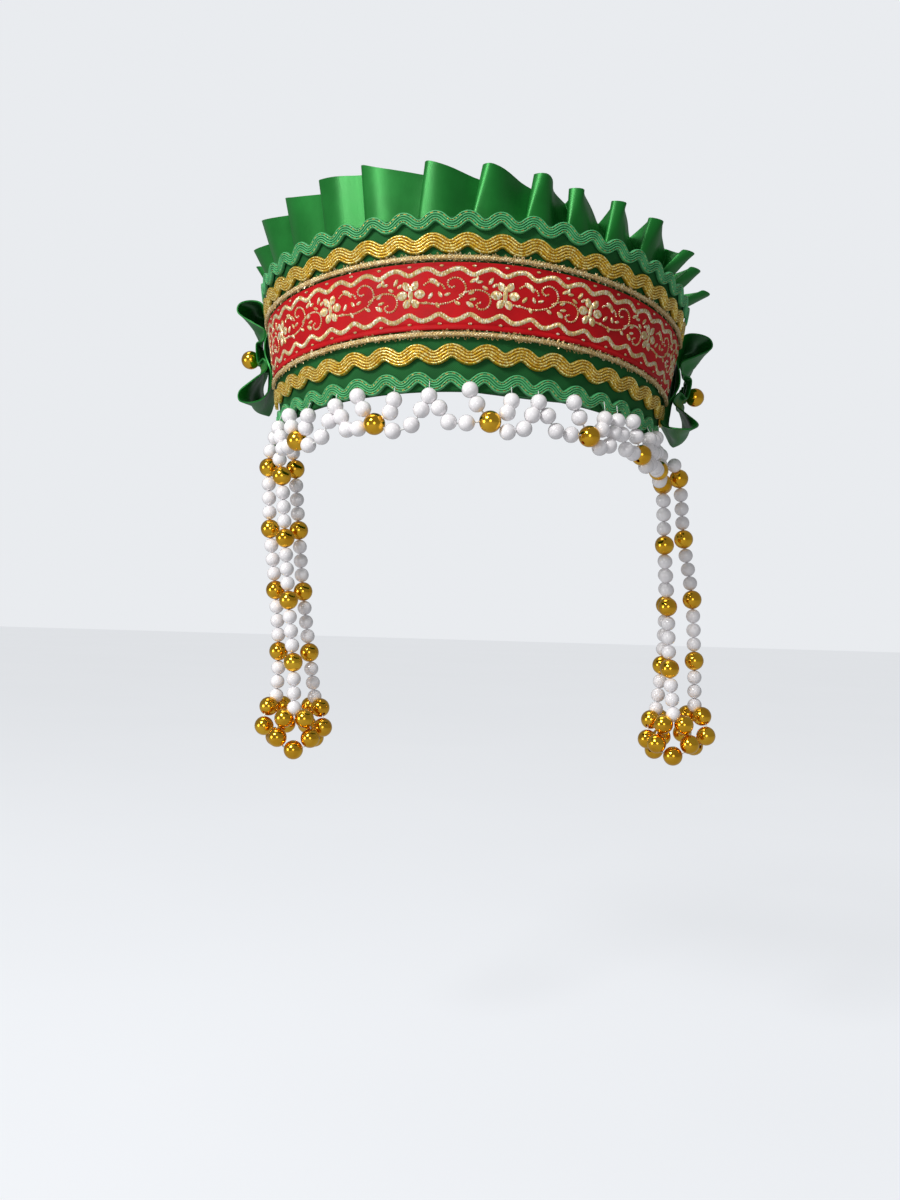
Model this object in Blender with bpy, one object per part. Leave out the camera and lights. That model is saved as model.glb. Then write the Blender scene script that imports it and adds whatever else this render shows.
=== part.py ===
# Kokoshnik headdress.
# A stiff cloth-covered band runs from temple to temple and flares upwards. A pleated satin ruffle
# stands behind its top edge, and ric-rac, lurex braid and a red jacquard ribbon are sewn round its
# face. A net of pearls and gold beads hangs along the rim. At each temple sit a satin bow with a gold
# bead, and a pendant of three bead strands that end in loops. An elastic closes the back.
# Metres, +Z up. The front faces -Y, and the origin is the middle of the head opening.

import math

import bmesh
import bpy
import numpy as np
from mathutils import Vector

# Driving dimensions of the crown
RIM_RADIUS = 0.0751
TIP_BACK = 0.350
FLARE_FRONT = 0.311
FLARE_LEFT = 0.150
FLARE_RIGHT = 0.230
FLARE_BACK = -0.150
SIDE_LIFT = 0.0130
BACK_LIFT = 0.0063
RIGHT_END_OUT = 0.0045
RIGHT_END_DROP = 0.0040
BAND_HALF_LENGTH = 0.130
BAND_HEIGHT = 0.064
BAND_WALL = 0.0020
BAND_EDGE_ROUNDING = 0.0006
BAND_STATIONS = 39
SEWN_GAP = 0.0004

# Trims sewn on the band's face: heights are measured up its slant from the lower edge
TRIM_HALF_LENGTH = 0.1105
RIBBON_WIDTH = 0.0245
RIBBON_FOOT = 0.0222
RIBBON_THICKNESS = 0.0008
RIBBON_STATIONS = 33
BRAID_DIAMETER = 0.0026
BRAID_SIDES = 6
BRAID_STATIONS = 27
RICRAC_STRAND = 0.0041
RICRAC_SWING = 0.0033
RICRAC_THICKNESS = 0.0014
GOLD_RICRAC_PITCH = 0.0126
GREEN_RICRAC_PITCH = 0.0119
LOWER_RICRAC_PHASE = -0.0050
UPPER_RICRAC_PHASE = -0.0004
LOWER_EDGE_OVERHANG = 0.0002
UPPER_EDGE_OVERHANG = 0.0018

# Ruffle of satin ribbon, knife pleated, behind the band's top edge
SATIN_WALL = 0.0010
PLEAT_LAYER = 0.0015
PLEAT_OVERLAP = 0.0055
RUFFLE_TUCK = 0.0060
RUFFLE_RISE = 0.0205
RUFFLE_SINK = 0.0062
RUFFLE_NOSE = 0.0024
SPLAY_START = 0.10
RUFFLE_GAP = 0.0006
OPEN_OVERLAP = 0.0010
PLEAT_LEAD = 0.0075
PLEAT_TRAIL = 0.0024
PLEAT_TURN = math.radians(70)
PANEL_BEND = 0.30
RUFFLE_DIP = 0.0050
MITER_LIMIT = 0.55

# Elastic round the back
ELASTIC_WIDTH = 0.018
ELASTIC_THICKNESS = 0.0015
ELASTIC_FOOT = 0.031
ELASTIC_LAP = 0.012
ELASTIC_STATIONS = 25

# Bows of satin ribbon over the band's ends
BOW_WIDTH = 0.025
BOW_CUP = 0.25
BOW_PINCH = 0.36
BOW_KNOT_THICKNESS = 0.0026
BOW_KNOT_LENGTH = 0.009
RIBBON_CROWN = 0.0003
TAIL_WIDTH = 0.012
TAIL_LENGTH = 0.046
TAIL_FLARE = 0.008
TAIL_SETBACK = 0.0075
TAIL_FREE_SHARE = 0.6
TAIL_STATIONS = (0.02, 0.35, TAIL_FREE_SHARE, 0.80, 1.0)

# Beads
PEARL = 0.006
GOLD_BEAD = 0.008
BEAD_SIDES = 10
PEARL_RUN_SHARE = 0.90
THREAD_HOLE_SHARE = 0.62
GOLD_SHOULDER_SHARE = 0.93
LOOP_END_SHARE = 0.16
LOOP_END_NARROWING = 0.6
LOOP_BEADS = 5
LOOP_SLACK = 1.06
NET_STAND_OFF = 0.0036
NET_TOP = 0.0022
NET_DEPTH = 0.0088
BRANCH_TOP = 0.0022

# One row for each pleat: where its fold meets the band's edge as a share of the ruffle's half
# length, how far its tip leans sideways, how high it stands, how much lower its far end stands and
# how far it splays outwards as shares of the ruffle's rise, and how far it is sprung open
PLEAT_COLUMNS = ("foot", "lean", "rise", "slope", "splay", "open")
PLEATS = (
    (-0.880, -0.05, 0.86, 0.20, 0.30, 0.10),
    (-0.788, -0.12, 1.00, 0.24, 0.26, 0.05),
    (-0.650, -0.08, 1.22, 0.32, 0.14, 0.00),
    (-0.511, -0.06, 1.24, 0.32, 0.00, 0.00),
    (-0.379, 0.00, 1.18, 0.14, 0.00, 0.00),
    (-0.256, 0.02, 1.17, 0.32, 0.00, 0.06),
    (-0.120, 0.16, 1.06, 0.22, 0.00, 0.25),
    (0.008, 0.20, 1.02, 0.10, 0.00, 0.55),
    (0.137, 0.15, 0.96, 0.00, 0.02, 0.85),
    (0.246, 0.02, 0.84, 0.00, 0.04, 1.00),
    (0.361, 0.08, 0.88, 0.00, 0.06, 1.00),
    (0.484, 0.14, 0.92, 0.00, 0.12, 1.00),
    (0.592, 0.10, 0.56, 0.00, 0.50, 0.90),
    (0.682, 0.04, 0.50, 0.00, 0.45, 0.80),
    (0.790, 0.00, 0.38, 0.00, 0.58, 0.70),
)
PLEAT_PITCH_SHARE = 0.105

# Closed loops of the bows: how far along the loop, how far out from the band and how wide, as shares
# of the loop's length, its depth and the ribbon's width
BOW_COLUMNS = ("along", "out", "width")
BOW_LOOP = (
    (0.10, 0.00, 0.55),
    (0.34, 0.00, 0.90),
    (0.66, 0.00, 1.00),
    (0.90, 0.12, 1.00),
    (1.00, 0.44, 1.00),
    (0.90, 0.80, 1.00),
    (0.64, 1.00, 1.00),
    (0.38, 0.88, 0.95),
    (0.18, 0.50, 0.70),
)

# Bows: distance round the rim, height of the knot, how far the ribbon behind it stands off the band,
# and how far the knot is lifted by the gathered ribbon under it
LEFT_BOW_INSET = 0.0035
RIGHT_BOW_OUTSET = 0.0147
BOWS = {
    "left": {"arc": LEFT_BOW_INSET - BAND_HALF_LENGTH, "height": 0.0405, "stand_off": 0.0030,
             "knot_lift": 0.0012},
    "right": {"arc": TRIM_HALF_LENGTH + RIGHT_BOW_OUTSET, "height": 0.0330, "stand_off": 0.0018,
              "knot_lift": 0.0028},
}
# Loops of each bow, the upper one first: length, depth, how far the loop's end swings out from the
# band, and how far it swings forward
LOOP_COLUMNS = ("length", "depth", "swing", "forward")
LOOPS = {
    "left": ((0.0245, 0.0130, 0.0025, 0.0000), (0.0250, 0.0130, 0.0070, 0.0000)),
    "right": ((0.0245, 0.0150, 0.0010, 0.0000), (0.0265, 0.0165, 0.0030, 0.0140)),
}

# Pearl net: distances round the rim of its gold beads and, between them, of the pearls sewn to the
# rim, and the way down from a pearl to the next bead and up again, as shares of the step between
# them and of the net's depth
NET_GOLD = (-0.0710, -0.0320, 0.0089, 0.0472, 0.0786, 0.1020)
NET_PEARLS = (-0.0905, -0.0490, -0.0123, 0.0260, 0.0614, 0.0910, 0.1125)
NET_LEFT_END = -0.1150
NET_FALL = ((0.17, 0.50), (0.33, 1.07), (0.62, 1.10))
NET_CLIMB = ((0.36, 1.36), (0.70, 1.16), (0.87, 0.56))
NET_BRANCHES = (-0.0100, 0.0075)
NET_BRANCH_SIDES = 8
NET_BRANCH_START = 0.001
NET_BRANCH_LOW_SHARE = 0.8
NET_BRANCH_HIGH_SHARE = 0.9
NET_GOLD_HOLE_SHARE = 0.8

# Pendant strands: chosen points of each strand from the rim to the top of its end loop, and which
# way that loop stands out, in radians from the front
STRAND_ROUTES = {
    "left_outer": (((-0.0785, 0.0012, 0.0010), (-0.0808, 0.0018, -0.0060), (-0.0816, 0.0030, -0.0138),
                    (-0.0802, 0.0030, -0.0397), (-0.0772, 0.0030, -0.0657), (-0.0752, 0.0035, -0.0915),
                    (-0.0760, 0.0052, -0.1130)), -0.96),
    "left_front": (((-0.0772, -0.0046, -0.0056), (-0.0750, -0.0042, -0.0172), (-0.0728, -0.0046, -0.0433),
                    (-0.0706, -0.0046, -0.0693), (-0.0679, -0.0050, -0.0951),
                    (-0.0665, -0.0072, -0.1170)), 0.0),
    "left_inner": (((-0.0738, 0.0050, -0.0008), (-0.0716, 0.0040, -0.0070), (-0.0705, 0.0036, -0.0134),
                    (-0.0682, 0.0034, -0.0394), (-0.0656, 0.0034, -0.0657), (-0.0622, 0.0036, -0.0913),
                    (-0.0592, 0.0052, -0.1130)), 0.96),
    "right_front": (((0.0828, -0.0012, -0.0027), (0.0834, -0.0012, -0.0078), (0.0849, 0.0002, -0.0158),
                     (0.0864, 0.0000, -0.0407), (0.0883, -0.0008, -0.0659), (0.0894, -0.0030, -0.0911),
                     (0.0912, -0.0073, -0.1150)), 0.0),
    "right_outer": (((0.0888, 0.0004, -0.0052), (0.0908, 0.0030, -0.0095), (0.0935, 0.0064, -0.0160),
                     (0.0957, 0.0062, -0.0393), (0.0997, 0.0050, -0.0640), (0.1010, 0.0034, -0.0892),
                     (0.1022, 0.0052, -0.1120)), 0.96),
    "right_inner": (((0.0846, 0.0044, -0.0064), (0.0856, 0.0086, -0.0112), (0.0878, 0.0136, -0.0187),
                     (0.0887, 0.0132, -0.0425), (0.0896, 0.0120, -0.0677), (0.0884, 0.0096, -0.0930),
                     (0.0855, 0.0056, -0.1140)), -0.96),
}
PEARLS_BETWEEN_GOLD = 3
GOLD_RINGS = 4


def material(name, colour, roughness, metallic=0.0):
    """A Principled material with one plain finish."""
    finish = bpy.data.materials.new(name)
    finish.use_nodes = True
    shader = finish.node_tree.nodes["Principled BSDF"]
    shader.inputs["Base Color"].default_value = (*colour, 1.0)
    shader.inputs["Roughness"].default_value = roughness
    shader.inputs["Metallic"].default_value = metallic
    return finish


def loft(name, rings, finish, closed=False, smooth=False):
    """Skin rings of points into one closed body, capped at both ends unless it closes on itself.

    Its faces are cut into triangles, because the four corners of a folded cloth's face aren't in a plane.
    """
    shell = bmesh.new()
    loops = [[shell.verts.new(point) for point in ring] for ring in rings]
    pairs = list(zip(loops, loops[1:]))
    if closed:
        pairs.append((loops[-1], loops[0]))
    else:
        shell.faces.new(loops[0])
        shell.faces.new(loops[-1])
    for first, second in pairs:
        for i in range(len(first)):
            j = (i + 1) % len(first)
            shell.faces.new((first[i], first[j], second[j], second[i]))
    bmesh.ops.recalc_face_normals(shell, faces=shell.faces)
    bmesh.ops.triangulate(shell, faces=shell.faces)
    mesh = bpy.data.meshes.new(name)
    shell.to_mesh(mesh)
    shell.free()
    mesh.materials.append(finish)
    if smooth:
        mesh.shade_smooth()
        mesh.set_sharp_from_angle(angle=math.radians(50))
    piece = bpy.data.objects.new(name, mesh)
    bpy.context.scene.collection.objects.link(piece)
    return piece


def flare_at(turn):
    """Outward lean of the band's face. Past the temples it eases so that the elastic stands upright."""
    facing = math.cos(turn)
    side = FLARE_RIGHT if math.sin(turn) > 0 else FLARE_LEFT
    if facing < 0:
        return FLARE_BACK + (side - FLARE_BACK) * abs(math.sin(turn))
    return FLARE_FRONT + (side - FLARE_FRONT) * (1 - facing)


def crown_point(turn, height, out=0.0):
    """A point at a turn from the front, a height up the slant and a distance out from the band's face."""
    facing = math.cos(turn)
    flare = flare_at(turn)
    right_end = max(0.0, math.sin(turn)) * min(1.0, 1 - facing)
    radius = RIM_RADIUS + height * math.sin(flare) + out * math.cos(flare) + RIGHT_END_OUT * right_end
    lift = height * math.cos(flare) - out * math.sin(flare)
    lift += SIDE_LIFT * (1 - facing) + BACK_LIFT * (1 - facing) ** 2 - SIDE_LIFT - BACK_LIFT
    lift -= RIGHT_END_DROP * right_end ** 2
    back = -radius * facing
    return Vector((radius * math.sin(turn),
                   back * math.cos(TIP_BACK) + lift * math.sin(TIP_BACK),
                   lift * math.cos(TIP_BACK) - back * math.sin(TIP_BACK)))


LEVEL_TABLES = {}


def level_table(height, out):
    """Turns along a level line round the crown, and its length from the front to each of them."""
    key = (round(height, 7), round(out, 7))
    if key not in LEVEL_TABLES:
        turns = np.linspace(-math.radians(150), math.radians(150), 1201)
        points = np.array([crown_point(turn, height, out) for turn in turns])
        steps = np.linalg.norm(np.diff(points, axis=0), axis=1)
        lengths = np.concatenate(([0.0], np.cumsum(steps)))
        LEVEL_TABLES[key] = (lengths - lengths[len(turns) // 2], turns)
    return LEVEL_TABLES[key]


def turn_at(arc, height=0.0, out=0.0):
    """The turn at which a level line round the crown has run a length from the front."""
    lengths, turns = level_table(height, out)
    return float(np.interp(arc, lengths, turns))


def level_length(turn, height, out=0.0):
    """The length of a level line from the front to a turn, negative to the left."""
    lengths, turns = level_table(height, out)
    return float(np.interp(turn, turns, lengths))


def spread(half_length, count):
    """Evenly spaced turns between the same length of rim on the left and on the right."""
    return [turn_at(half_length * (2 * i / (count - 1) - 1)) for i in range(count)]


def crown_strip(name, turns, section, finish):
    """A strip round the crown whose section is a list of heights and distances out."""
    rings = [[crown_point(turn, height, out) for height, out in section(turn)] for turn in turns]
    return loft(name, rings, finish)


def crown_band(finish):
    """The stiff band: a cloth-covered wall with rounded upper and lower edges."""
    rounding = BAND_EDGE_ROUNDING
    profile = ((0.0, -BAND_WALL / 2), (rounding, 0.0), (BAND_HEIGHT - rounding, 0.0),
               (BAND_HEIGHT, -BAND_WALL / 2), (BAND_HEIGHT - rounding, -BAND_WALL), (rounding, -BAND_WALL))
    return crown_strip("crown_band", spread(BAND_HALF_LENGTH, BAND_STATIONS), lambda turn: profile, finish)


def jacquard_ribbon(finish):
    """The red ribbon round the middle of the band."""
    low, high = RIBBON_FOOT, RIBBON_FOOT + RIBBON_WIDTH
    inner, outer = SEWN_GAP, SEWN_GAP + RIBBON_THICKNESS
    profile = ((low, inner), (low, outer), (high, outer), (high, inner))
    turns = spread(TRIM_HALF_LENGTH, RIBBON_STATIONS)
    return crown_strip("jacquard_ribbon", turns, lambda turn: profile, finish)


def braid(name, middle, finish):
    """A round lurex braid beside an edge of the ribbon."""
    radius = BRAID_DIAMETER / 2
    profile = []
    for i in range(BRAID_SIDES):
        angle = math.tau * i / BRAID_SIDES
        profile.append((middle + radius * math.sin(angle), SEWN_GAP + radius + radius * math.cos(angle)))
    return crown_strip(name, spread(TRIM_HALF_LENGTH, BRAID_STATIONS), lambda turn: profile, finish)


def ricrac(name, foot, pitch, phase, finish):
    """A wavy braid: a low ridge whose middle swings up and down once a pitch."""
    strand = RICRAC_STRAND
    middle = foot + (strand + RICRAC_SWING) / 2
    left = level_length(turn_at(-TRIM_HALF_LENGTH), middle)
    right = level_length(turn_at(TRIM_HALF_LENGTH), middle)
    stations = []
    for k in range(int(left / pitch * 4) - 4, int(right / pitch * 4) + 4):
        arc = (k + 0.5) * pitch / 4 + phase
        if left < arc < right:
            stations.append((turn_at(arc, middle), 1 if (k // 2) % 2 else -1))
    rings = []
    for turn, side in stations:
        swung = middle + side * RICRAC_SWING / 2
        rings.append([crown_point(turn, swung - strand / 2, SEWN_GAP),
                      crown_point(turn, swung, SEWN_GAP + RICRAC_THICKNESS),
                      crown_point(turn, swung + strand / 2, SEWN_GAP)])
    return loft(name, rings, finish)


def pleat_rows():
    """The pleats as named rows, with a last one that stands where the ruffle ends."""
    rows = [dict(zip(PLEAT_COLUMNS, row)) for row in PLEATS]
    last = dict(rows[-1])
    last["foot"] = rows[-1]["foot"] + PLEAT_PITCH_SHARE
    return rows + [last]


def splayed(row, level):
    """How far out a pleat's front stands at a level."""
    return row["splay"] * RUFFLE_RISE * max(0.0, level - SPLAY_START) / (1 - SPLAY_START)


def nose_at(row, level):
    """Half the depth of a pleat's front fold, which grows as the pleat springs open."""
    return PLEAT_LAYER / 2 + RUFFLE_NOSE * row["open"] * level


def pleat_path(row, following, level):
    """Eight points of one pleat seen from above, at a level from 0 at the band to 1 at the tip.

    Each point holds its distance round the crown, its distance out and its height. The rear fold lies
    behind the next pleat's front fold as it stands at that height, and it turns from sideways to
    backwards as the pleat opens.
    """
    half = level_length(turn_at(BAND_HALF_LENGTH), BAND_HEIGHT, -BAND_WALL)
    opened = row["open"] * level
    tip = RUFFLE_RISE * level
    crest = BAND_HEIGHT + row["rise"] * tip
    fall = row["slope"] * tip
    dip = RUFFLE_DIP * opened
    hollow = crest - fall - dip
    beside = min(1.0, (hollow - BAND_HEIGHT) / (following["rise"] * RUFFLE_RISE))
    start = row["foot"] * half + row["lean"] * tip
    end = following["foot"] * half + following["lean"] * RUFFLE_RISE * beside
    nose = nose_at(row, level)
    front = splayed(row, level)
    back = splayed(following, beside) - 2 * nose_at(following, beside) - PLEAT_LAYER - RUFFLE_SINK * opened
    depth = front - back
    turned = opened * PLEAT_TURN
    round_fold = PLEAT_LAYER / 2
    fold = (end + PLEAT_OVERLAP + (OPEN_OVERLAP - PLEAT_OVERLAP) * opened, back + round_fold)
    ahead = (round_fold * math.cos(turned), -round_fold * math.sin(turned))
    return (
        (start + 0.5 * nose, front - 2 * nose, crest),
        (start - 0.5 * nose, front - nose, crest),
        (start + 0.7 * nose, front, crest),
        (start + PLEAT_LEAD - RUFFLE_NOSE * opened, front - PANEL_BEND * depth * opened,
         crest - 0.4 * fall - 0.1 * dip),
        (end - PLEAT_TRAIL - 1.5 * RUFFLE_NOSE * opened, back + PANEL_BEND * depth * opened,
         crest - 0.8 * fall - 0.5 * dip),
        (fold[0] + ahead[1], fold[1] - ahead[0], hollow),
        (fold[0] + ahead[0], fold[1] + ahead[1], hollow),
        (fold[0] - ahead[1], fold[1] + ahead[0], hollow),
    )


def ruffle(finish):
    """The pleated ribbon as one wall that doubles back behind every fold."""
    rows = pleat_rows()
    front_of_ruffle = -BAND_WALL - RUFFLE_GAP - SATIN_WALL / 2
    levels = []
    for level in (0.0, SPLAY_START, 1.0):
        path = []
        for row, following in zip(rows, rows[1:]):
            path.extend(pleat_path(row, following, level))
        levels.append(path[:-2])
    foot = [(arc, out, BAND_HEIGHT - RUFFLE_TUCK) for arc, out, height in levels[0]]
    levels[0] = foot
    rings = []
    for i in range(len(foot)):
        faces = {1: [], -1: []}
        for path in levels:
            arc, out, height = path[i]
            before = path[max(i - 1, 0)]
            after = path[min(i + 1, len(path) - 1)]
            into = Vector((arc - before[0], out - before[1])) if i else Vector((1.0, 0.0))
            onward = Vector((after[0] - arc, after[1] - out)) if i < len(path) - 1 else into
            into.normalize()
            onward.normalize()
            bend = Vector((into.x + onward.x, into.y + onward.y)).normalized()
            reach = SATIN_WALL / 2 / max(MITER_LIMIT, bend.dot(into))
            for side in (1, -1):
                place = arc - side * reach * bend.y
                distance = front_of_ruffle + out + side * reach * bend.x
                turn = turn_at(place, BAND_HEIGHT, -BAND_WALL)
                faces[side].append(crown_point(turn, height, distance))
        rings.append(faces[1] + faces[-1][::-1])
    return loft("satin_ruffle", rings, finish)


def elastic(finish):
    """The flat elastic from one end of the band round the back to the other, lapped inside them."""
    outer = -BAND_WALL - SEWN_GAP
    inner = outer - ELASTIC_THICKNESS
    first = turn_at(BAND_HALF_LENGTH - ELASTIC_LAP)
    last = turn_at(ELASTIC_LAP - BAND_HALF_LENGTH) + math.tau
    profile = ((ELASTIC_FOOT, inner), (ELASTIC_FOOT, outer),
               (ELASTIC_FOOT + ELASTIC_WIDTH, outer), (ELASTIC_FOOT + ELASTIC_WIDTH, inner))
    turns = [first + (last - first) * i / (ELASTIC_STATIONS - 1) for i in range(ELASTIC_STATIONS)]
    return crown_strip("back_elastic", turns, lambda turn: profile, finish)


def bow_point(side, offset, along, out):
    """A point of a bow: so far round the rim behind its middle, so far above its knot and out."""
    bow = BOWS[side]
    arc = abs(bow["arc"]) + offset
    return crown_point(turn_at(math.copysign(arc, bow["arc"])), bow["height"] + along, out)


def ribbon_ring(front, back, normal, thickness):
    """The section of a ribbon between its edges: a thin bar with its middle a little raised."""
    rise = normal * (thickness / 2)
    middle = (front + back) / 2 + normal * RIBBON_CROWN
    return [front - rise, middle - rise, back - rise, back + rise, middle + rise, front + rise]


def bow_loops(side, finish):
    """Both loops of a bow as one band of ribbon, pinched in the middle, with the knot on its outer pass.

    The ribbon's rear edge is drawn in, so that each loop is a cup that opens to the front.
    """
    inner = BOWS[side]["stand_off"]
    knot = inner + SATIN_WALL + SEWN_GAP + BOW_KNOT_THICKNESS / 2 + BOWS[side]["knot_lift"]
    rows = [dict(zip(BOW_COLUMNS, row)) for row in BOW_LOOP]
    path = []
    for direction, shape, passes in zip((1, -1), LOOPS[side], (rows, rows[::-1])):
        loop = dict(zip(LOOP_COLUMNS, shape))
        for row in passes:
            level = inner + row["along"] ** 2 * loop["swing"]
            front_out = row["out"] * (loop["depth"] - SATIN_WALL)
            cupped = loop["depth"] / 2 + (front_out - loop["depth"] / 2) * BOW_CUP
            cupping = min(1.0, (row["along"] - rows[0]["along"]) / (rows[1]["along"] - rows[0]["along"]))
            rear_out = front_out + (cupped - front_out) * cupping
            forward = row["along"] ** 3 * loop["forward"]
            path.append((direction * row["along"] * loop["length"], level + front_out, level + rear_out,
                         row["width"] * BOW_WIDTH, forward, SATIN_WALL))
        if direction > 0:
            for end in (1, -1):
                path.append((end * BOW_KNOT_LENGTH / 2, knot, knot, BOW_PINCH * BOW_WIDTH, 0.0,
                             BOW_KNOT_THICKNESS))
    rings = []
    for i, (along, front_out, rear_out, width, forward, thickness) in enumerate(path):
        front = bow_point(side, -width / 2 - forward, along, front_out)
        back = bow_point(side, width / 2 - forward, along, rear_out)
        before = path[i - 1]
        after = path[(i + 1) % len(path)]
        way = (bow_point(side, -after[4], after[0], (after[1] + after[2]) / 2)
               - bow_point(side, -before[4], before[0], (before[1] + before[2]) / 2))
        normal = way.cross(front - back).normalized()
        if side == "right":
            normal = -normal
        rings.append(ribbon_ring(front, back, normal, thickness))
    return loft(f"bow_{side}", rings, finish, closed=True)


def bow_tail(side, finish):
    """The ribbon's free end, which hangs flat from under the knot and swings clear of the rim."""
    rings = []
    for share in TAIL_STATIONS:
        swing = max(0.0, (share - TAIL_FREE_SHARE) / (1 - TAIL_FREE_SHARE)) ** 2
        out = SEWN_GAP + SATIN_WALL / 2 + TAIL_FLARE * swing
        half = TAIL_WIDTH * (0.5 + 0.5 * share) / 2
        front = bow_point(side, share * TAIL_SETBACK - half, -share * TAIL_LENGTH, out)
        back = bow_point(side, share * TAIL_SETBACK + half, -share * TAIL_LENGTH, out)
        middle = bow_point(side, share * TAIL_SETBACK, -share * TAIL_LENGTH, out)
        normal = bow_point(side, share * TAIL_SETBACK, -share * TAIL_LENGTH, out + SATIN_WALL) - middle
        rings.append(ribbon_ring(front, back, normal.normalized(), SATIN_WALL))
    return loft(f"bow_tail_{side}", rings, finish)


def tube_rings(centres, radii, sides=BEAD_SIDES):
    """Rings of points square to a route, turned as little as possible from one to the next."""
    rings = []
    guide = None
    for i, centre in enumerate(centres):
        way = (centres[min(i + 1, len(centres) - 1)] - centres[max(i - 1, 0)]).normalized()
        if guide is None:
            guide = way.orthogonal()
        guide = (guide - way * guide.dot(way)).normalized()
        other = way.cross(guide)
        ring = []
        for k in range(sides):
            angle = math.tau * k / sides
            ring.append(centre + (guide * math.cos(angle) + other * math.sin(angle)) * radii[i])
        rings.append(ring)
    return rings


def smooth_route(points, steps=12):
    """A smooth curve through a route's chosen points, finely divided."""
    points = [Vector(point) for point in points]
    ends = [points[0] * 2 - points[1]] + points + [points[-1] * 2 - points[-2]]
    route = []
    for a, b, c, d in zip(ends, ends[1:], ends[2:], ends[3:]):
        for k in range(steps):
            t = k / steps
            route.append(0.5 * (2 * b + (c - a) * t + (2 * a - 5 * b + 4 * c - d) * t * t
                                + (3 * b - a - 3 * c + d) * t ** 3))
    route.append(points[-1])
    return route


def point_along(route, distance):
    """The point at a distance along a finely divided route."""
    for first, second in zip(route, route[1:]):
        step = (second - first).length
        if distance <= step:
            return first.lerp(second, distance / step)
        distance -= step
    return route[-1] + (route[-1] - route[-2]).normalized() * distance


def route_length(route):
    """The length of a finely divided route."""
    return sum((second - first).length for first, second in zip(route, route[1:]))


def end_loop(top, facing):
    """Centres of the gold beads of an end loop that hangs from a strand, and its outward turn."""
    radius = GOLD_BEAD * LOOP_SLACK / 2 / math.sin(math.pi / LOOP_BEADS)
    across = Vector((math.cos(facing), -math.sin(facing), 0.0))
    middle = top - Vector((0.0, 0.0, radius))
    centres = []
    for k in range(LOOP_BEADS):
        angle = math.tau * (k + 0.5) / LOOP_BEADS
        centres.append(middle + across * (radius * math.sin(angle))
                       + Vector((0.0, 0.0, radius * math.cos(angle))))
    return middle, radius, across, centres


def gold_profile(diameter, hole):
    """Shares along a gold bead's thickness and the radius there."""
    shoulder = diameter / 2 * GOLD_SHOULDER_SHARE
    return ((0.02, hole), (0.27, shoulder), (0.73, shoulder), (0.98, hole))


def strand(name, points, facing, finish):
    """One pendant strand: pearls as a plain run, gold beads at full size, and the end loop."""
    route = smooth_route(points)
    run = PEARL / 2 * PEARL_RUN_SHARE
    step = PEARLS_BETWEEN_GOLD * PEARL + GOLD_BEAD
    total = route_length(route)
    first_gold = total - GOLD_RINGS * step
    centres = [point_along(route, 0.0)]
    radii = [run]
    for ring in range(GOLD_RINGS):
        begin = first_gold + ring * step
        for share, radius in gold_profile(GOLD_BEAD, run):
            centres.append(point_along(route, begin + share * GOLD_BEAD))
            radii.append(radius)
    centres.append(point_along(route, total - PEARL / 2))
    radii.append(run)
    middle, radius, across, beads = end_loop(Vector(points[-1]), facing)
    loop_end = GOLD_BEAD / 2 * THREAD_HOLE_SHARE * LOOP_END_NARROWING
    span = math.tau / LOOP_BEADS
    for k in range(LOOP_BEADS):
        for share, wide in gold_profile(GOLD_BEAD, GOLD_BEAD / 2 * THREAD_HOLE_SHARE):
            if share < 0.1 and k > 0:
                continue
            angle = span * (k + share) if 0.1 < share < 0.9 else span * (k + round(share))
            if k == 0 and share < 0.1:
                angle = span * LOOP_END_SHARE
                wide = loop_end
            if k == LOOP_BEADS - 1 and share > 0.9:
                angle = span * (LOOP_BEADS - LOOP_END_SHARE)
                wide = loop_end
            centres.append(middle + across * (radius * math.sin(angle))
                           + Vector((0.0, 0.0, radius * math.cos(angle))))
            radii.append(wide)
    return loft(name, tube_rings(centres, radii), finish, smooth=True)


def net_point(arc, drop):
    """A bead's place in the net: so far round the rim, in front of its edge, and down from it."""
    return crown_point(turn_at(arc), 0.0, NET_STAND_OFF) - Vector((0.0, 0.0, drop))


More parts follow.
